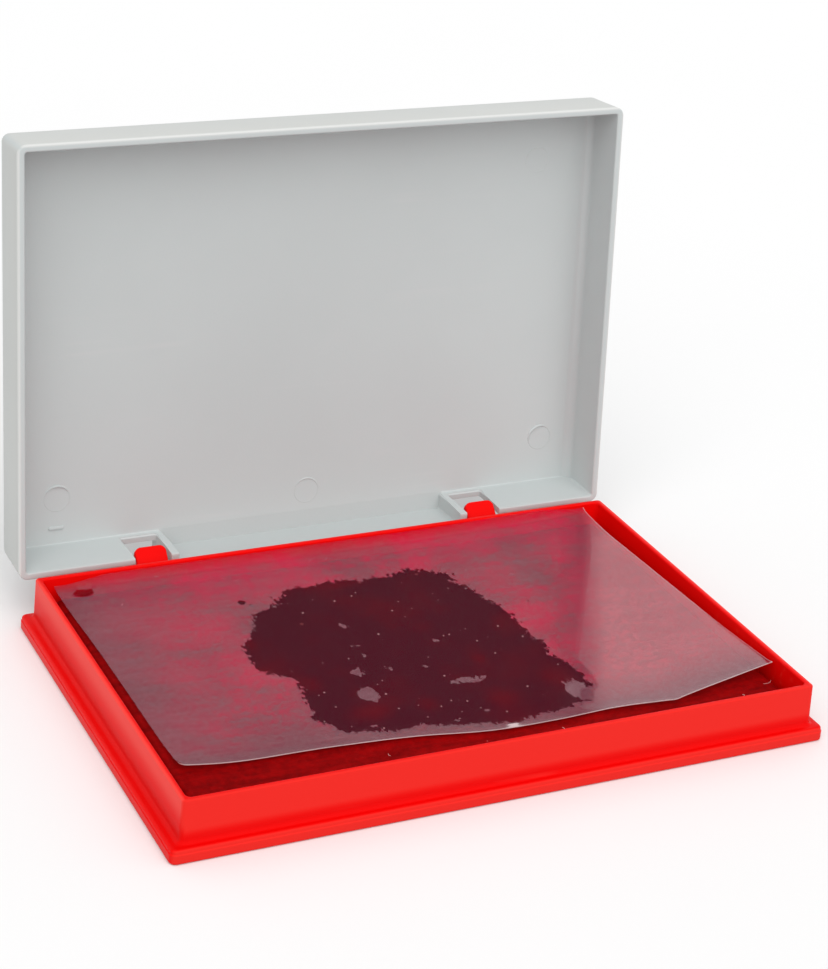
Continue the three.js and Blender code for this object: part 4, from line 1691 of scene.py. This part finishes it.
@dataclass(frozen=True)
class Lint:
    """A few short fibres that lie on the film and on the bare front of the pad."""

    thickness: float = 0.045
    rings: int = 14
    sides: int = 5
    sharp: float = 70.0
    bend: Pair = (1.2, 3.2)
    bend_power: float = 1.4
    film_seed: int = 21
    pad_seed: int = 22
    on_film: tuple[Spot, ...] = (
        (-36.0, 36.2, 1.6, 8.15), (-33.5, 35.4, 1.2, 7.95), (-24.0, 33.0, 1.5, 7.7), (-22.6, 32.7, 1.0, 7.68),
        (-5.0, 35.6, 2.0, 7.98), (-3.2, 35.0, 1.4, 7.86), (-45.0, 30.0, 1.1, 7.68), (29.0, 20.0, 0.8, 7.68),
    )
    on_pad: tuple[Spot, ...] = (
        (53.6, -31.0, 2.6, 7.34), (48.0, -33.6, 0.9, 7.3), (12.0, -33.8, 0.8, 7.3), (-20.0, -31.5, 0.9, 7.3),
    )

    def strand(self, place: Spot, chance: random.Random) -> list[Point]:
        """Lay out one curled fibre.

        Args:
            place: Its start, length and height.
            chance: What its heading and bend are drawn from.

        Returns:
            Its points in millimetres, ring by ring.
        """
        x, y, length, z = place
        heading = chance.uniform(0.0, math.tau)
        bend = chance.uniform(*self.bend)
        points: list[Point] = []
        for k in range(self.rings):
            turn = heading + bend * (k / self.rings) ** self.bend_power
            x += math.cos(turn) * length / self.rings
            y += math.sin(turn) * length / self.rings
            girth = self.thickness * (0.5 + 0.5 * math.sin(math.pi * (k + 0.5) / self.rings))
            for i in range(self.sides):
                around = math.tau * i / self.sides
                off = girth * math.cos(around)
                up = girth * math.sin(around)
                points.append((x - off * math.sin(turn), y + off * math.cos(turn), z + up))
        return points

    def strands(self, name: str, places: tuple[Spot, ...], seed: int) -> bpy.types.Object:
        """Build one mesh of curled fibres.

        Args:
            name: The mesh's name.
            places: Start, length and height of each fibre.
            seed: Start of its chance.

        Returns:
            The fibres.
        """
        chance = random.Random(seed)
        rings, sides = self.rings, self.sides
        one = [*ring_faces(rings, sides), first_ring(sides), last_ring(rings, sides)]
        points: list[Point] = []
        faces: list[Face] = []
        for place in places:
            faces += moved_on(one, len(points))
            points += self.strand(place, chance)
        return mesh_object(name, np.array(points) * MM, faces, self.sharp)

    def build(self) -> list[bpy.types.Object]:
        """Build the fibres on the film and those on the pad, and return them."""
        film = self.strands("lint_on_film", self.on_film, self.film_seed)
        return [film, self.strands("lint_on_pad", self.on_pad, self.pad_seed)]

    def dress(self, parts: list[bpy.types.Object]) -> None:
        """Give the fibres their material and bodies.

        Args:
            parts: The fibres on the film and those on the pad.
        """
        material = PaleLint().material()
        dress(parts[0], material, Body.FILM)
        dress(parts[1], material, Body.BASE)


# Studio


@dataclass(frozen=True)
class SoftLamp:
    """A broad, even lamp that shines on everything from one side."""

    name: str
    side: Point
    breadth: float
    power: float

    def build(self) -> None:
        """Hang the lamp and aim it."""
        data = bpy.data.lights.new(self.name, "SUN")
        data.angle = math.radians(self.breadth)
        data.energy = self.power
        lamp = link(bpy.data.objects.new(self.name, data))
        lamp.location = self.side
        lamp.rotation_euler = (-Vector(self.side)).to_track_quat("-Z", "Y").to_euler()
        lamp.visible_glossy = False


@dataclass(frozen=True)
class Studio:
    """Camera at the photograph's viewpoint, pale floor, white surroundings and a soft lamp."""

    camera_place: Point = (-0.182537, -0.349184, 0.223925)
    camera_right: Point = (0.902713, -0.423531, 0.075705)
    camera_up: Point = (0.090251, 0.358447, 0.929178)
    camera_back: Point = (-0.420672, -0.831948, 0.361798)
    lens: float = 92.287
    sensor: float = 36.0
    shift_y: float = -0.17607
    nearest: float = 0.01
    floor_half: float = 3.0
    floor_round: float = 0.4
    floor_steps: tuple[int, int, int] = (8, 8, 8)
    floor_height: float = -0.0001
    white: Colour = (1.0, 1.0, 1.0)
    ambient: float = 0.68
    lamp: SoftLamp = SoftLamp("key_lamp", (-0.16, -0.63, 0.75), 70.0, 1.7)

    def build(self) -> None:
        """Set up camera, floor, surroundings and lamp."""
        self.build_camera()
        self.build_floor()
        self.build_surroundings()
        self.lamp.build()
        bpy.context.scene.view_settings.view_transform = "Standard"

    def build_camera(self) -> None:
        """Set the camera where the photograph was taken."""
        data = bpy.data.cameras.new("photo_camera")
        data.lens = self.lens
        data.sensor_width = self.sensor
        data.shift_y = self.shift_y
        data.clip_start = self.nearest
        camera = link(bpy.data.objects.new("photo_camera", data))
        turn = Matrix((self.camera_right, self.camera_up, self.camera_back)).transposed()
        camera.matrix_world = Matrix.Translation(self.camera_place) @ turn.to_4x4()
        bpy.context.scene.camera = camera

    def build_floor(self) -> None:
        """Lay the floor."""
        ring = rounded_ring(self.floor_half, self.floor_half, self.floor_round, self.floor_steps)
        points = np.column_stack([ring, np.full(len(ring), self.floor_height)])
        floor = mesh_object("studio_floor", points, [tuple(range(len(ring)))])
        paint(floor, StudioFloor().material())

    def build_surroundings(self) -> None:
        """Make the surroundings white to the eye and in reflections, and a soft ambient light otherwise."""
        world = bpy.data.worlds.new("studio_surroundings")
        world.use_nodes = True
        world.node_tree.nodes.clear()
        sheet = NodeSheet(world.node_tree)
        strength = sheet.ramp(sheet.seen(), 0.0, 1.0, self.ambient, 1.0)
        light = sheet.add("ShaderNodeBackground", Color=as_colour(self.white), Strength=strength)
        end = sheet.add("ShaderNodeOutputWorld")
        sheet.feed(light.outputs[0], end.inputs["Surface"])
        bpy.context.scene.world = world


def main() -> None:
    """Build the node groups, the studio and every sub-assembly in order."""
    logging.basicConfig(level=logging.INFO, format="%(name)s: %(message)s")
    for effect in (MouldedSkin(), PlainWeave(), InkSpread(), FineDust()):
        effect.make()
    Studio().build()
    for assembly in (Tray(), Lid(), InkPad(), ProtectiveFilm(), Lint()):
        parts = assembly.build()
        assembly.dress(parts)
        for part in parts:
            LOG.info("%s: %s with %d faces", type(assembly).__name__, part.name, len(part.data.polygons))


if __name__ == "__main__":
    main()
